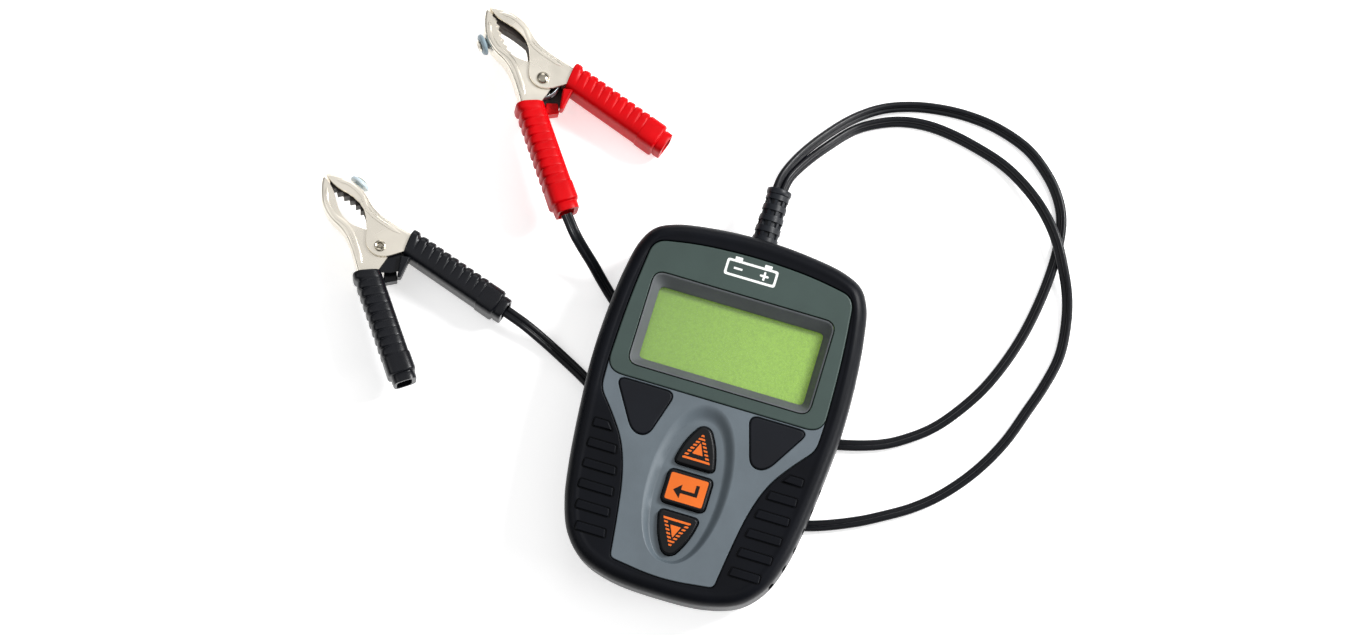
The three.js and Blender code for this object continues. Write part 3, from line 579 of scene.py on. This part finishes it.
def lead(colour, route, end_tilt):
    """A flat twin lead. It lies as far over on its edge as its height above the floor lets it."""
    path = catmull(route, 11)
    step = np.linalg.norm(np.diff(path, axis=0), axis=1)
    reach = np.concatenate([[0], np.cumsum(step)])
    stops = [0, 30, 80, reach[-1] - 70, reach[-1] - 30]
    tilts = (70, 62, 40, 37, end_tilt)  # the most that the lead tilts at each stop, in degrees
    most = np.interp(reach, stops, [math.sin(math.radians(angle)) for angle in tilts])
    lift = np.clip((path[:, 2] - CORE_RADIUS - 0.02) / CORE_RADIUS, 0, most)
    either_side = 8  # points of the path that the tilt is averaged over, before and after each
    window = 2 * either_side + 1
    tilt = np.arcsin(np.convolve(np.pad(lift, either_side, "edge"), np.ones(window) / window, "valid"))
    tangent = np.gradient(path, axis=0)
    flat = np.column_stack([-tangent[:, 1], tangent[:, 0], np.zeros(len(path))])
    flat /= np.linalg.norm(flat, axis=1)[:, None]
    wide = flat * np.cos(tilt)[:, None] + np.array([0, 0, 1]) * np.sin(tilt)[:, None]
    obj = piece(f"{colour}_flat_lead", sweep(path, twin_section(), wide), LEAD_PVC,
                replaces=[f"{colour}_lead"], slot="black_pvc", sharp=80)
    return obj, path, float(reach[-1])


LEADS = {"red": lead("red", RED_ROUTE, 20), "black": lead("black", BLACK_ROUTE, 0)}


# ---- case
def around(loop, angles):
    """The outline's points at the given angles about the origin."""
    turn = np.unwrap(np.arctan2(loop[:, 1], loop[:, 0]))
    radius = np.hypot(loop[:, 0], loop[:, 1])
    turn = np.concatenate([turn - 2 * math.pi, turn, turn + 2 * math.pi])
    reach = np.interp(angles, turn, np.tile(radius, 3))
    return np.column_stack([reach * np.cos(angles), reach * np.sin(angles)])


RIB_ENDS = [(29.6, 36.6), (26.4, 36.4), (24.4, 35.8), (23.2, 35.2), (22.4, 34), (21.6, 32)]
RIB_PITCH = 7
RIB_ROWS = [-13.4 - RIB_PITCH * row for row in range(len(RIB_ENDS))]
RIB_HEIGHT = 2.8
NOTCH_ROWS = RIB_ROWS + [36, 30, 24]


def rib_loops(longer=0.0):
    """The outlines of the grip ribs, each made longer towards the plate. The top one has a slanted end."""
    loops = []
    for row, (near, far) in zip(RIB_ROWS, RIB_ENDS):
        slant = 2.2 if row == RIB_ROWS[0] else 0.5
        top, bottom, inner = row + RIB_HEIGHT / 2, row - RIB_HEIGHT / 2, near - longer
        for side in (-1, 1):
            corners = [
                (side * (inner + slant), top, 0.4), (side * far, top, 0.5),
                (side * far, bottom, 0.5), (side * inner, bottom, 0.4),
            ]
            loops.append(spaced(rounded(corners, 4), 64))
    return loops


def side_notches(outer):
    """Cutters for the upright notches in the side walls, narrower inside than outside."""
    notches = []
    for row in NOTCH_ROWS:
        for side in (-1, 1):
            wall = outer[np.argmin(np.abs(outer[:, 1] - row) + 1e3 * (outer[:, 0] * side < 0))][0]
            inside, outside = wall - side * 0.95, wall + side * 1.2
            corners = [
                (inside, row - 1.0, 0.4), (outside, row - 1.6, 0.4),
                (outside, row + 1.6, 0.4), (inside, row + 1.0, 0.4),
            ]
            notches.append(slab(spaced(rounded(corners, 4), 32), 11.5, 24.2, 0.5))
    return together(*notches)


def rubber_boot():
    """The rubber over-mould: side walls, a rounded rim, sunken grips with raised ribs, and side notches."""
    outer = case_loop(0)
    angles = np.unwrap(np.arctan2(outer[:, 1], outer[:, 0]))
    opening = spaced(rounded(mirrored(OPENING_HALF), 12), 1400)
    walls = [
        (5.5, 1.9), (5.6, 1.45), (6, 1.0), (6.8, 0.45), (8.5, 0.05), (11, 0), (16, 0), (21, 0), (24, 0.02),
        (25, 0.12), (25.9, 0.35), (26.7, 0.75), (27.4, 1.3), (27.95, 2.0), (28.3, 2.7), (28.52, 3.3),
        (RIM_TOP, 3.8), (28.5, 4.35),
    ]
    rings = [level(case_loop(inset), z) for z, inset in walls]
    crest = rings[-1][:, :2]
    edge = around(grown(opening, GAP + 0.45), angles)
    share = np.minimum(0.6, 1.3 / np.linalg.norm(edge - crest, axis=1))[:, None]
    rings.append(level(crest + (edge - crest) * share * 0.5, 28.36))
    rings.append(level(crest + (edge - crest) * share, LEDGE_TOP + 0.02))
    rings.append(level(edge, LEDGE_TOP))
    lip = around(grown(opening, GAP), angles)
    rings.append(level(around(grown(opening, GAP + 0.15), angles), LEDGE_TOP - 0.12))
    rings.append(level(lip, LEDGE_TOP - 0.5))
    rings.append(level(lip, PLATE_BOTTOM))
    inner = case_loop(WALL_INSET - GAP)
    rings.append(level(inner, PLATE_BOTTOM))
    rings.append(level(inner, 5.5))
    port = moved(lathe([(4.75, 50), (4.75, 70)], 48), Matrix.Translation((0, 0, EXIT_HEIGHT)) @ TURN_Y)
    boot = cut(loft(rings, closed=True), side_notches(outer), port)
    groove = 0.45  # its width round each rib, and its depth
    grooves = [slab(grown(loop, groove), LEDGE_TOP - groove, ABOVE) for loop in rib_loops(longer=0.2)]
    ribs = [slab(loop, LEDGE_TOP - 0.8, RIM_TOP + 0.2, 0.4) for loop in rib_loops()]
    return fused(cut(boot, together(*grooves)), together(*ribs))


def face_plate():
    """The grey plate, with the oval dish that the keys sit in."""
    plate = slab(spaced(rounded(mirrored(PLATE_HALF)), 400), PLATE_BOTTOM, PLATE_TOP, 0.3)
    rim, bottom = oval(14, 3.2, -52), oval(10.4, -2.4, -50.8)
    tub = loft([level(grown(rim, 0.1), DISH_FLOOR - DISH_SKIN), level(grown(rim, 0.1), PLATE_TOP - 0.4)])
    rings = []
    steps = 12
    for step in range(steps + 1):
        s = step / steps
        height = 0.12 * s + 0.88 * s * s * (3 - 2 * s)  # nearly level at the dish's floor and at its rim
        rings.append(level(bottom + (rim - bottom) * s, DISH_FLOOR + (PLATE_TOP - DISH_FLOOR) * height))
    rings.append(level(rim + (rim - bottom) * 0.02, 31))
    panel_hole = slab(grown(spaced(rounded(mirrored(PANEL_HALF)), 400), GAP), BELOW, ABOVE)
    pads = [hole(grown(pad_loop(side), GAP), BELOW, PLATE_TOP, 0.35) for side in (-1, 1)]
    keys = [hole(grown(key_loop(name, y), 0.35), BELOW, DISH_FLOOR, 0.25) for name, body, y in KEYS]
    return cut(fused(plate, tub), loft(rings), panel_hole, together(*pads), together(*keys))


def display_panel():
    panel = slab(spaced(rounded(mirrored(PANEL_HALF)), 400), PLATE_BOTTOM, PANEL_TOP, 0.45)
    return cut(panel, hole(rectangle(32.1, 8.8, 42.2, 4), BELOW, PANEL_TOP, 0.25))


def display_surround():
    """The frame round the display, whose four walls slope down to the window."""
    walls = [
        (31.8, 9.1, 41.9, 3.6, 23.9), (31.8, 9.1, 41.9, 3.6, 27.9), (31.65, 9.25, 41.75, 3.4, 28.05),
        (31.35, 9.55, 41.45, 3.1, 28.0), (31.2, 9.8, 41.2, 3.0, 27.8), (29.3, 11.9, 38.25, 1.9, 24.75),
        (29.0, 12.2, 37.9, 1.7, 24.45), (28.9, 12.3, 37.8, 1.6, 24.2), (28.9, 12.3, 37.8, 1.6, 23.9),
    ]
    return loft([level(rectangle(w, y0, y1, r), z) for w, y0, y1, r, z in walls], closed=True)


def strain_relief():
    """The bend relief: a round boot with four rows of small windows and an end collar."""
    count = 96
    angle = np.linspace(0, 2 * math.pi, count, endpoint=False)

    def ring(y, radius, core=None, shift=0.0):
        size = np.full(count, float(radius))
        if core is not None:
            web = np.abs(((angle / math.pi * 4 + shift) % 1) - 0.5) < 0.17
            size = np.where(web, radius - 0.12, core)
        return np.column_stack([size * np.cos(angle), size * np.sin(angle) * 0.94, np.full(count, y)])

    first_row, row_pitch, taper = 65.2, 3.9, 0.14
    rings = [ring(y, r) for y, r in [(55.8, 6.2), (57.3, 6.2), (57.35, 4.75), (63.4, 4.65), (64.9, 4.5)]]
    for row in range(4):
        start, radius = first_row + row_pitch * row, 4.5 - taper * row
        shift = 0.5 * (row % 2)
        rings.append(ring(start, radius))
        rings.append(ring(start + 0.15, radius - 0.15, radius - 1.0, shift))
        rings.append(ring(start + 1.75, radius - 0.15, radius - 1.0, shift))
        rings.append(ring(start + 1.9, radius))
        rings.append(ring(start + 3.7, radius - 0.1))
    collar = [(2.1, 3.85), (1.95, 4.2), (1.6, 4.3), (0.5, 4.3), (0.15, 4.15), (0, 3.8)]
    rings += [ring(RELIEF_END - back, radius) for back, radius in collar]
    return moved(loft(rings), Matrix.Translation((0, 0, EXIT_HEIGHT)) @ TURN_Y)


def striped_triangle(way, y):
    """The mark on the up and down keys: a solid triangle inside a striped one."""
    half, low, high, border = 5.0, -4.6, 5.2, 1.3
    pitch, stripe = 1.2, 0.62
    marks = []

    def edge(h):
        return half * (high - h) / (high - low)

    def mark(corners):
        loop = spaced(rounded([(x, way * h, 0.05) for x, h in corners], 2), 24)
        return slab(loop + [0, y], KEY_TOP - INK_DEPTH, KEY_TOP + INK_DEPTH)

    bar = low + 0.75  # the top of the solid bar along the triangle's base
    marks.append(mark([(edge(low), low), (edge(bar), bar), (-edge(bar), bar), (-edge(low), low)]))
    h = low + 1.3
    while h + stripe < high - 0.2:
        outer, above, top = edge(h), edge(h + stripe), h + stripe
        if outer - border > 0.35:
            for side in (-1, 1):
                marks.append(mark([
                    (side * (outer - border), h), (side * outer, h),
                    (side * above, top), (side * (above - border), top),
                ]))
        else:
            marks.append(mark([(outer, h), (above, top), (-above, top), (-outer, h)]))
        h += pitch
    marks.append(mark([(1.85, -2.4), (0, 1.75), (-1.85, -2.4)]))
    return together(*marks)


def return_arrow(y):
    """The mark on the enter key: a plain bent arrow, on top of the printed field."""
    top = KEY_TOP + 0.06
    arrow = [
        (-4.4, -1.0, 0.05), (-1.8, -3.4, 0.05), (-1.8, -1.6, 0.05), (4.0, -1.6, 0.05), (4.0, 2.4, 0.05),
        (2.8, 2.4, 0.05), (2.8, -0.4, 0.05), (-1.8, -0.4, 0.05), (-1.8, 1.4, 0.05),
    ]
    return slab(spaced(rounded(arrow, 2), 140) + [0, y], top - 0.02, top + 0.03)


def battery_mark():
    """A plain outline of a battery with a plus and a minus, in place of a name."""
    low, high = PANEL_TOP - INK_DEPTH, PANEL_TOP + INK_DEPTH
    post_place, sign_place, sign, stroke = 5.2, 4.6, 1.5, 0.35
    box = cut(
        slab(rectangle(9, -2.9, 2.9, 0.9, 80), low, high),
        slab(rectangle(8.2, -2.1, 2.1, 0.5, 80), PANEL_TOP - 1, PANEL_TOP + 1),
    )
    posts = [slab(rectangle(1.3, 2.85, 4.0, 0.2, 40) + [side * post_place, 0], low, high) for side in (-1, 1)]
    level_stroke = rectangle(sign, -stroke, stroke, 0.05, 32)
    upright_stroke = rectangle(stroke, -sign, sign, 0.05, 32)
    plus = fused(slab(level_stroke, low, high), slab(upright_stroke, low, high))
    plus = moved(plus, Matrix.Translation((sign_place, 0, 0)))
    minus = slab(level_stroke + [-sign_place, 0], low, high)
    return moved(together(box, *posts, plus, minus), Matrix.Translation((-0.5, 50.3, 0)))


def keycap(name, y):
    """A key cap, with its skirt under the plate and a stem towards the board."""
    skirt = DISH_FLOOR - DISH_SKIN - GAP
    cap = slab(key_loop(name, y), skirt - 0.5, KEY_TOP, 0.9)
    flange = slab(rectangle(8.4, y - 1.6, y + 1.6, 0.5), skirt - 1.1, skirt)
    stem = moved(lathe([(2.5, 18.9), (2.5, skirt - 0.3)]), Matrix.Translation((0, y, 0)))
    return fused(cap, flange, stem)


def enter_field(y):
    """The printed field that covers most of the enter key."""
    return slab(rectangle(6.5, y - 4.6, y + 4.6, 0.7), KEY_TOP - INK_DEPTH, KEY_TOP + INK_DEPTH)


piece("rubber_overmould", rubber_boot(), RUBBER, replaces=["rubber_boot"], slot="boot_rubber")
piece("grey_plate", face_plate(), PLATE, replaces=["face_plate"], slot="face_plate")
piece("green_panel", display_panel(), PANEL, replaces=["display_panel"], slot="display_panel")
piece("recess_frame", display_surround(), SURROUND, replaces=["display_surround"], slot="display_surround",
      sharp=50)
piece("bend_relief", strain_relief(), RELIEF, replaces=["strain_relief"], slot="boot_rubber")
piece("battery_mark", battery_mark(), WHITE)
for side, word in ((-1, "left"), (1, "right")):
    piece(f"{word}_soft_pad", slab(pad_loop(side), PLATE_BOTTOM, PLATE_TOP + 0.25, 0.6), GRIP,
          replaces=[f"{word}_pad"], slot="key_rubber")
for name, body, y in KEYS:
    piece(name.replace("button", "keycap"), keycap(name, y), KEY, body, [name], "key_rubber")
piece("up_mark", striped_triangle(1, UP_Y), ORANGE, "up_key")
piece("down_mark", striped_triangle(-1, DOWN_Y), ORANGE, "down_key")
piece("enter_field", enter_field(ENTER_Y), ORANGE, "enter_key")
piece("enter_mark", return_arrow(ENTER_Y), INK, "enter_key")

paint(SHELL, "front_housing", "back_cover")
paint(CLEAR, "display_window")
paint(DISPLAY, "lcd_glass")
paint(WHITE_PLASTIC, "lcd_backlight", "lead_connector")
paint(MAT, "zebra_strip", "keypad_mat")
paint(BOARD, "circuit_board")
paint(CHIP, "processor_chip", "power_transistor")
paint(CERAMIC, "load_resistor")
paint(STEEL, *[f"case_screw_{n}" for n in range(1, 5)])
paint(RUBBER, *[f"foot_{n}" for n in range(1, 5)])

# ---- clips
SHEET = 0.8
CHANNEL = 8.0
PLATE_SHIFT = (SHEET + GAP) / 2
HANDLE_ANGLE = math.radians(18)
HANDLE_START = (8.95, -4.2)
STAMPING_REACH = 33.0
HANDLE_HALF = 2.9  # half of the width of a stamping's handle
WIRE_RADIUS = 0.42
# The outside edge of the right-hand half, tip first, then its inside edge from the ear to the tip.
JAW_BACK = [(0.95, 32, 0.3), (2.9, 30.2, 2.5), (6.6, 25, 5), (7.8, 18.6, 5), (6.4, 12, 5), (8.6, 4, 5)]
JAW_FRONT = [
    (-3.6, -1.6, 2.4), (-3.9, 3.4, 2.4), (0.4, 8.2, 1.2), (3.5, 13, 4), (3.6, 19, 5), (0.3, 26.5, 3),
    (0.3, 32, 0.2),
]
TEETH = 6
BUTTON_PLACE = (6.85, 22.6)
BUTTON_ANGLE = math.radians(15)


def handle_point(along, across):
    """A place so far along the right-hand handle, and so far out from its middle line."""
    return (
        HANDLE_START[0] + along * math.sin(HANDLE_ANGLE) + across * math.cos(HANDLE_ANGLE),
        HANDLE_START[1] - along * math.cos(HANDLE_ANGLE) + across * math.sin(HANDLE_ANGLE),
    )


def sided(side, corners):
    return [(side * corner[0], *corner[1:]) for corner in corners]


def stamping(side, teeth):
    """One half of a clip: a channel pressed from sheet, rounded along its back. Its pressed ridge is made by
    pressed_ridge.
    """
    low = -CHANNEL / 2 + side * PLATE_SHIFT
    high = low + CHANNEL
    half = HANDLE_HALF
    outline = [(x, y, reach, 1.0) for x, y, reach in JAW_BACK]
    outline += [(*handle_point(0, half), 2, 1.0), (*handle_point(STAMPING_REACH, half), 1.5, 1.0)]
    outline += [(*handle_point(STAMPING_REACH, -half), 0.5, 0.1), (*handle_point(1.9, -half), 0.3, 0.1)]
    outline += [(*handle_point(1.0, -4.1), 0.4, 0.1), (-0.4, -4.5, 2.0, 0.1)]
    outline += [(x, y, reach, 0.1) for x, y, reach in JAW_FRONT]
    loop = spaced(rounded(sided(side, outline), 10), 420)
    bend = quarter(1.15)
    rings = [level(grown(loop, -inset), low + drop) for inset, drop in reversed(bend)]
    rings += [level(grown(loop, -inset), high - drop) for inset, drop in bend]
    inner = [(-2, 29.4, 0.1), (1.9, 29.4, 0.8)]
    inner += [(x - SHEET - 0.1, y, reach) for x, y, reach in JAW_BACK[2:]]
    inner += [(*handle_point(0, half - SHEET), 2), (*handle_point(STAMPING_REACH + 3, half - SHEET), 0.5)]
    inner += [(*handle_point(STAMPING_REACH + 3, -half - 12), 0.5), (-8, -6, 0.5)]
    hollow = slab(spaced(rounded(sided(side, inner)), 240), low + SHEET, high - SHEET)
    shape = cut(loft(rings), hollow, lathe([(1.9, -10), (1.9, 10)], 40))
    notches = []
    for tooth in range(teeth):
        part = tooth / (teeth - 1)
        spot = np.array([side * (0.25 + 2.7 * part), 27.8 - 8 * part])
        corners = [
            (spot[0] - side * 1.1, spot[1] + 0.75, 0.1), (spot[0] - side * 1.1, spot[1] - 0.75, 0.1),
            (spot[0] + side * 0.75, spot[1], 0.25),
        ]
        notches.append(slab(spaced(rounded(corners, 4), 24), -CHANNEL, CHANNEL))
    if notches:
        shape = cut(shape, *notches)
    return shape, low, high


def pressed_ridge(side, low, high):
    """The raised line that stiffens the cheeks, just inside the back of the jaw."""
    back = catmull([(x, y, 0) for x, y, reach in JAW_BACK[1:]] + [(*handle_point(0, HANDLE_HALF), 0)], 14)
    back = back[2:-6]
    tangent = np.gradient(back, axis=0)
    tangent /= np.linalg.norm(tangent, axis=1)[:, None]
    inward = np.column_stack([tangent[:, 1], -tangent[:, 0], np.zeros(len(back))])
    path = (back + inward * 1.95) * [side, 1, 1]  # 1.95 mm in from the back of the jaw
    turn = np.linspace(0, 2 * math.pi, 12, endpoint=False)
    half_width, height = 0.75, 0.28
    section = np.column_stack([half_width * np.cos(turn), height * np.sin(turn)])
    ends = np.minimum(1, np.minimum(np.arange(len(path)), np.arange(len(path))[::-1]) / 6 + 0.15)
    wide = np.cross(np.gradient(path, axis=0), [0, 0, 1])
    return together(*[sweep(path + [0, 0, z], section, wide, ends) for z in (low, high)])


SLEEVE_LENGTH = 41.2
SLEEVE_RIBS = 9
RIB_SHAPE = [
    (0.0, -0.08), (0.08, -0.08), (0.12, 0.24), (0.2, 0.42), (0.4, 0.56), (0.64, 0.65), (0.82, 0.64),
    (0.92, 0.48), (0.97, 0.2),
]  # the groove and the rounded bar of one rib, as (share of the pitch, bulge)


def sleeve(side):
    """A ribbed PVC sleeve on a handle: rounded ribs outside, smooth inside, with a slanted mouth."""
    count = 48

    def ring(along, half_width, half_height, bulge=0.0, slant=0.0, corner=3.1, inward=0.75):
        loop = rectangle(half_width, -half_height, half_height, corner, count)
        outward = np.clip((loop[:, 0] / half_width + 0.75) / 1.75, 0, 1)
        loop[:, 0] -= inward * np.clip(-loop[:, 0] / half_width, 0, 1)
        loop = loop + np.column_stack([bulge * outward, np.sign(loop[:, 1]) * 0.7 * bulge * outward])
        place = [handle_point(along - slant * x + 0.5 * slant * max(x - 2, 0), x) for x, h in loop]
        return np.column_stack([np.array(place), loop[:, 1]])

    wide, tall, pitch, first = 4.1, 5.75, 3.1, 3.3
    mouth = [(0.15, 0.4, 0.24), (0.6, 0.75, 0.24), (1.9, 0.85, 0.2), (2.5, 0.7, 0.18), (2.9, 0.2, 0.17)]
    rings = [ring(0, wide - 0.2, tall - 0.1, 0.1, 0.24)]
    rings += [ring(along, wide, tall, bulge, slant) for along, bulge, slant in mouth]
    for rib in range(SLEEVE_RIBS):
        start = first + rib * pitch
        slant = 0.15 * (1 - rib / SLEEVE_RIBS)
        rings += [ring(start + part * pitch, wide, tall, bulge, slant) for part, bulge in RIB_SHAPE]
    end = first + SLEEVE_RIBS * pitch
    tail = [
        (end + 0.1, 0.1, 0, 0.1), (end + 0.5, 0.25, 0.2, 0.3), (37.4, 0.3, 0.2, 0.3), (38.0, 0.1, 0, 0.2),
        (38.3, -0.45, -0.8, 0), (38.6, -0.5, -0.85, 0), (38.9, -0.3, -0.65, 0), (40.7, -0.35, -0.7, 0),
    ]
    rings += [ring(along, wide + more, tall + higher, bulge) for along, more, higher, bulge in tail]
    rings.append(ring(SLEEVE_LENGTH, wide - 0.6, tall - 0.95, corner=2.2))
    pocket_ends, bore_ends = (-3, STAMPING_REACH + GAP), (STAMPING_REACH, SLEEVE_LENGTH + 1)
    pocket = loft([ring(along, HANDLE_HALF + GAP, 4.85, corner=0.3, inward=0) for along in pocket_ends])
    bore = loft([ring(along, 2.7, 4.0, corner=2.0, inward=0) for along in bore_ends])
    shape = cut(loft(rings), pocket, bore)
    return moved(shape, Matrix.Rotation(math.pi, 4, "Y")) if side < 0 else shape


def on_jaw_back(shell, side, out):
    """A turned piece moved from the origin to stand square on the back of the jaw."""
    turn = Matrix.Rotation(BUTTON_ANGLE, 4, "Z") @ Matrix.Rotation(math.pi / 2, 4, "Y")
    place = Matrix.Translation((BUTTON_PLACE[0], BUTTON_PLACE[1], 0)) @ turn @ Matrix.Translation((0, 0, out))
    if side < 0:
        place = Matrix.Rotation(math.pi, 4, "Y") @ place
    return moved(shell, Matrix.Translation((0, 0, side * PLATE_SHIFT)) @ place)


def insulator(side):
    profile = [
        (1.7, -1.2), (1.7, 0.95), (3.5, 1.0), (3.8, 1.25), (3.8, 1.7), (3.55, 2.2), (3.1, 2.45), (2.4, 2.5),
    ]
    body = cut(lathe(profile, 48), lathe([(1.4, -5), (1.4, 8)], 32))
    return on_jaw_back(body, side, 0)


def eyelet(side):
    profile = [(1.1, -0.5), (1.1, 2.75), (2.0, 2.8), (2.25, 3.0), (2.0, 3.3), (1.4, 3.35), (0.9, 3.1)]
    return on_jaw_back(cut(lathe(profile, 40), lathe([(0.6, -5), (0.6, 8)], 24)), side, 0)


def rivet(domed):
    """The hinge rivet: a domed head, or the rolled end of a hollow one."""
    top = CHANNEL / 2 + PLATE_SHIFT + GAP * 0.3
    tail = [(0, 1.2), (0.9, 1.15), (1.6, 0.9), (1.95, 0.5), (2.0, 0.02), (1.6, 0)]
    if domed:
        head = [(1.6, 0), (2.15, 0.02), (2.15, 0.3), (1.95, 0.65), (1.5, 0.95), (0.8, 1.15), (0, 1.2)]
    else:
        head = [
            (1.6, 0), (1.85, 0.05), (1.95, 0.35), (1.8, 0.62), (1.5, 0.72), (1.2, 0.6), (1.05, 0.3),
            (1.0, -0.6), (0.6, -0.7), (0.5, -0.2), (0, -0.1),
        ]
    low = [(radius, -top - out) for radius, out in tail]
    high = [(radius, top + out) for radius, out in head]
    return lathe(low + high, 48)


def torsion_spring():
    """A coil round the rivet, with a straight leg into each handle."""
    turns, radius, rise, low = 4, 5.9, 0.82, -1.64
    per_turn = 10
    leg_angle = math.pi * 1.58
    legs = [handle_point(10, 1), handle_point(0.6, -0.6)]
    points = [(-x, y, low) for x, y in legs]
    for step in range(turns * per_turn + 1):
        part = step / (turns * per_turn)
        angle = leg_angle + part * (turns - 0.08) * 2 * math.pi
        points.append((radius * math.cos(angle), radius * math.sin(angle), low + rise * turns * part))
    points += [(x, y, low + rise * turns) for x, y in reversed(legs)]
    path = catmull(points, 6)
    turn = np.linspace(0, 2 * math.pi, 12, endpoint=False)
    section = WIRE_RADIUS * np.column_stack([np.cos(turn), np.sin(turn)])
    return sweep(path, section, np.tile([0, 0, 1.0], (len(path), 1)))


def contact_strip(side, reach):
    """The strip inside the cord half, whose edge is a row of teeth that stand out by `reach`."""
    front = []
    for tooth in range(TEETH):
        part = tooth / (TEETH - 1)
        x, y = 0.2 + 3.3 * math.sin(part * 1.5), 27.4 - 12.4 * part
        front += [(x - reach, y - 0.55, 0.05), (x + 0.5, y - 1.35, 0.05)]
    front = [(0.35, 28.8, 0.1)] + front + [(3.9, 13.4, 0.1)]
    strip = front + [(4.6, 13.4, 0.1), (4.9, 19.4, 3), (2.2, 28.0, 0.1)]
    return slab(spaced(rounded(sided(side, strip), 5), 260), -2.6, 2.6)


def jaw_liner(side, showing):
    """The smooth liner of the free half. On the red clip it stands out into the jaw's opening."""
    if showing:
        liner = [
            (0.5, 29.2, 0.3), (3.6, 25.6, 3), (5.9, 19, 4), (5.2, 12.2, 0.4), (3.6, 11.6, 0.6), (2.6, 16, 3),
            (1.2, 20.5, 4), (-1.1, 25.6, 1.5),
        ]
    else:
        liner = [
            (1.8, 28.9, 0.1), (5.1, 24.2, 3), (6.2, 18.5, 4), (5, 12.6, 0.1), (4.3, 12.8, 0.1),
            (5.4, 18.5, 4), (4.4, 23.8, 3), (1.2, 28.4, 0.1),
        ]
    return slab(spaced(rounded(sided(side, liner), 6), 160), -2.6, 2.6, 0.3)


def guard(side):
    """The soft tab of one half, between the handles below the hinge. The two halves' tabs pass each other."""
    upper = side > 0
    if upper:
        corners = [(3.6, -7.0, 0.4), (6.2, -9.3, 0.5), (-0.9, -13.2, 0.6), (-1.9, -12.4, 0.6)]
    else:
        corners = [(3.2, -6.8, 0.4), (6.2, -10.2, 0.5), (1.6, -12.5, 0.5), (-0.2, -9.2, 0.5)]
    low, high = (0.3, 4.6) if upper else (-4.6, -0.3)
    return slab(spaced(rounded(sided(side, corners), 5), 90), low, high, 0.5)


def painted_shade_web(side):
    """A dark sheet behind the guards, just below the hinge, closing the gap between the handles: painted
    shade that stands in for the shadow inside the clip there.
    """
    corners = [
        (5.4, -3.0, 0.5), (5.9, -8.5, 0.5), (0.6, -10.8, 0.8), (-2.6, -9.4, 1.0), (-5.4, -7.0, 0.5),
        (-4.6, -2.6, 0.5), (0, -1.2, 2.0),
    ]
    low, high = (2.2, 2.5) if side > 0 else (-2.5, -2.2)
    return slab(spaced(rounded(sided(side, corners), 5), 90), low, high, 0.05)


def clip(colour, cord_side, pivot, turn, roll):
    """All the pieces of a clip, which is rolled about its own length and turned about Z at its pivot."""
    place = (Matrix.Translation(pivot) @ Matrix.Rotation(math.radians(turn), 4, "Z")
             @ Matrix.Rotation(math.radians(roll), 4, "Y"))
    free = f"{colour}_free_half"
    red = colour == "red"
    pvc = RED_PVC if red else BLACK_PVC
    made = []

    def add(name, shell, material, node, slot, body="tester", **more):
        nodes = [f"{colour}_clip_{node}"]
        made.append(piece(f"{colour}_{name}", shell, material, body, nodes, slot, place, **more))
        return made[-1]

    for name, node, side, body, teeth in (
        ("fixed_stamping", "cord_jaw", cord_side, "tester", TEETH if red else 0),
        ("moving_stamping", "free_jaw", -cord_side, free, 0),
    ):
        shape, low, high = stamping(side, teeth)
        if side == cord_side:
            shape = cut(shape, on_jaw_back(lathe([(2.1, -1.6), (2.1, 1.6)], 32), side, 0.2))
        add(name, together(shape, pressed_ridge(side, low, high)), NICKEL, node, "nickel", body, sharp=32)
    add("fixed_grip", sleeve(cord_side), pvc, "cord_sleeve", f"{colour}_sleeve", sharp=50)
    add("moving_grip", sleeve(-cord_side), pvc, "free_sleeve", f"{colour}_sleeve", free, sharp=50)
    add("hinge_rivet", rivet(red), SHADED_RIVET, "rivet", "nickel")
    teeth_show = 0.7 if red else 1.2
    strip = NICKEL if red else DARK_CONTACT_AND_SHADE
    add("jaw_contact", contact_strip(cord_side, teeth_show), strip, "contact_strip", "dark_contact")
    add("smooth_liner", jaw_liner(-cord_side, red), LINER if red else NICKEL, "jaw_liner", "liner", free)
    add("insulating_button", insulator(cord_side), BLUE_GREY if red else PALE, "insulator", "insulator")
    add("button_eyelet", eyelet(cord_side), NICKEL, "eyelet", "nickel")
    for word, side, shell, stuff, body in (
        ("fixed_guard", cord_side, guard(cord_side), pvc, "tester"),
        ("moving_guard", -cord_side, guard(-cord_side), pvc, free),
        # The web is painted shade: a dark sheet where the clip's inside lies in shadow.
        ("painted_shade_web", cord_side, painted_shade_web(cord_side), DARK_CONTACT_AND_SHADE if red else BLACK_PVC, "tester"),
    ):
        tab = piece(f"{colour}_{word}", shell, stuff, body, slot=f"{colour}_sleeve", place=place, sharp=50)
        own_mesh(tab)
        made.append(tab)
    spring = add("torsion_wire", torsion_spring(), STEEL, "spring", "steel", free=True)
    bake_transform(spring)
    return made


CLIPS = {
    "red": clip("red", -1, (-90.6, 96.9, 11), 53.9, 12),
    "black": clip("black", 1, (-126.8, 24.7, 9.8), 54.6, 9),
}
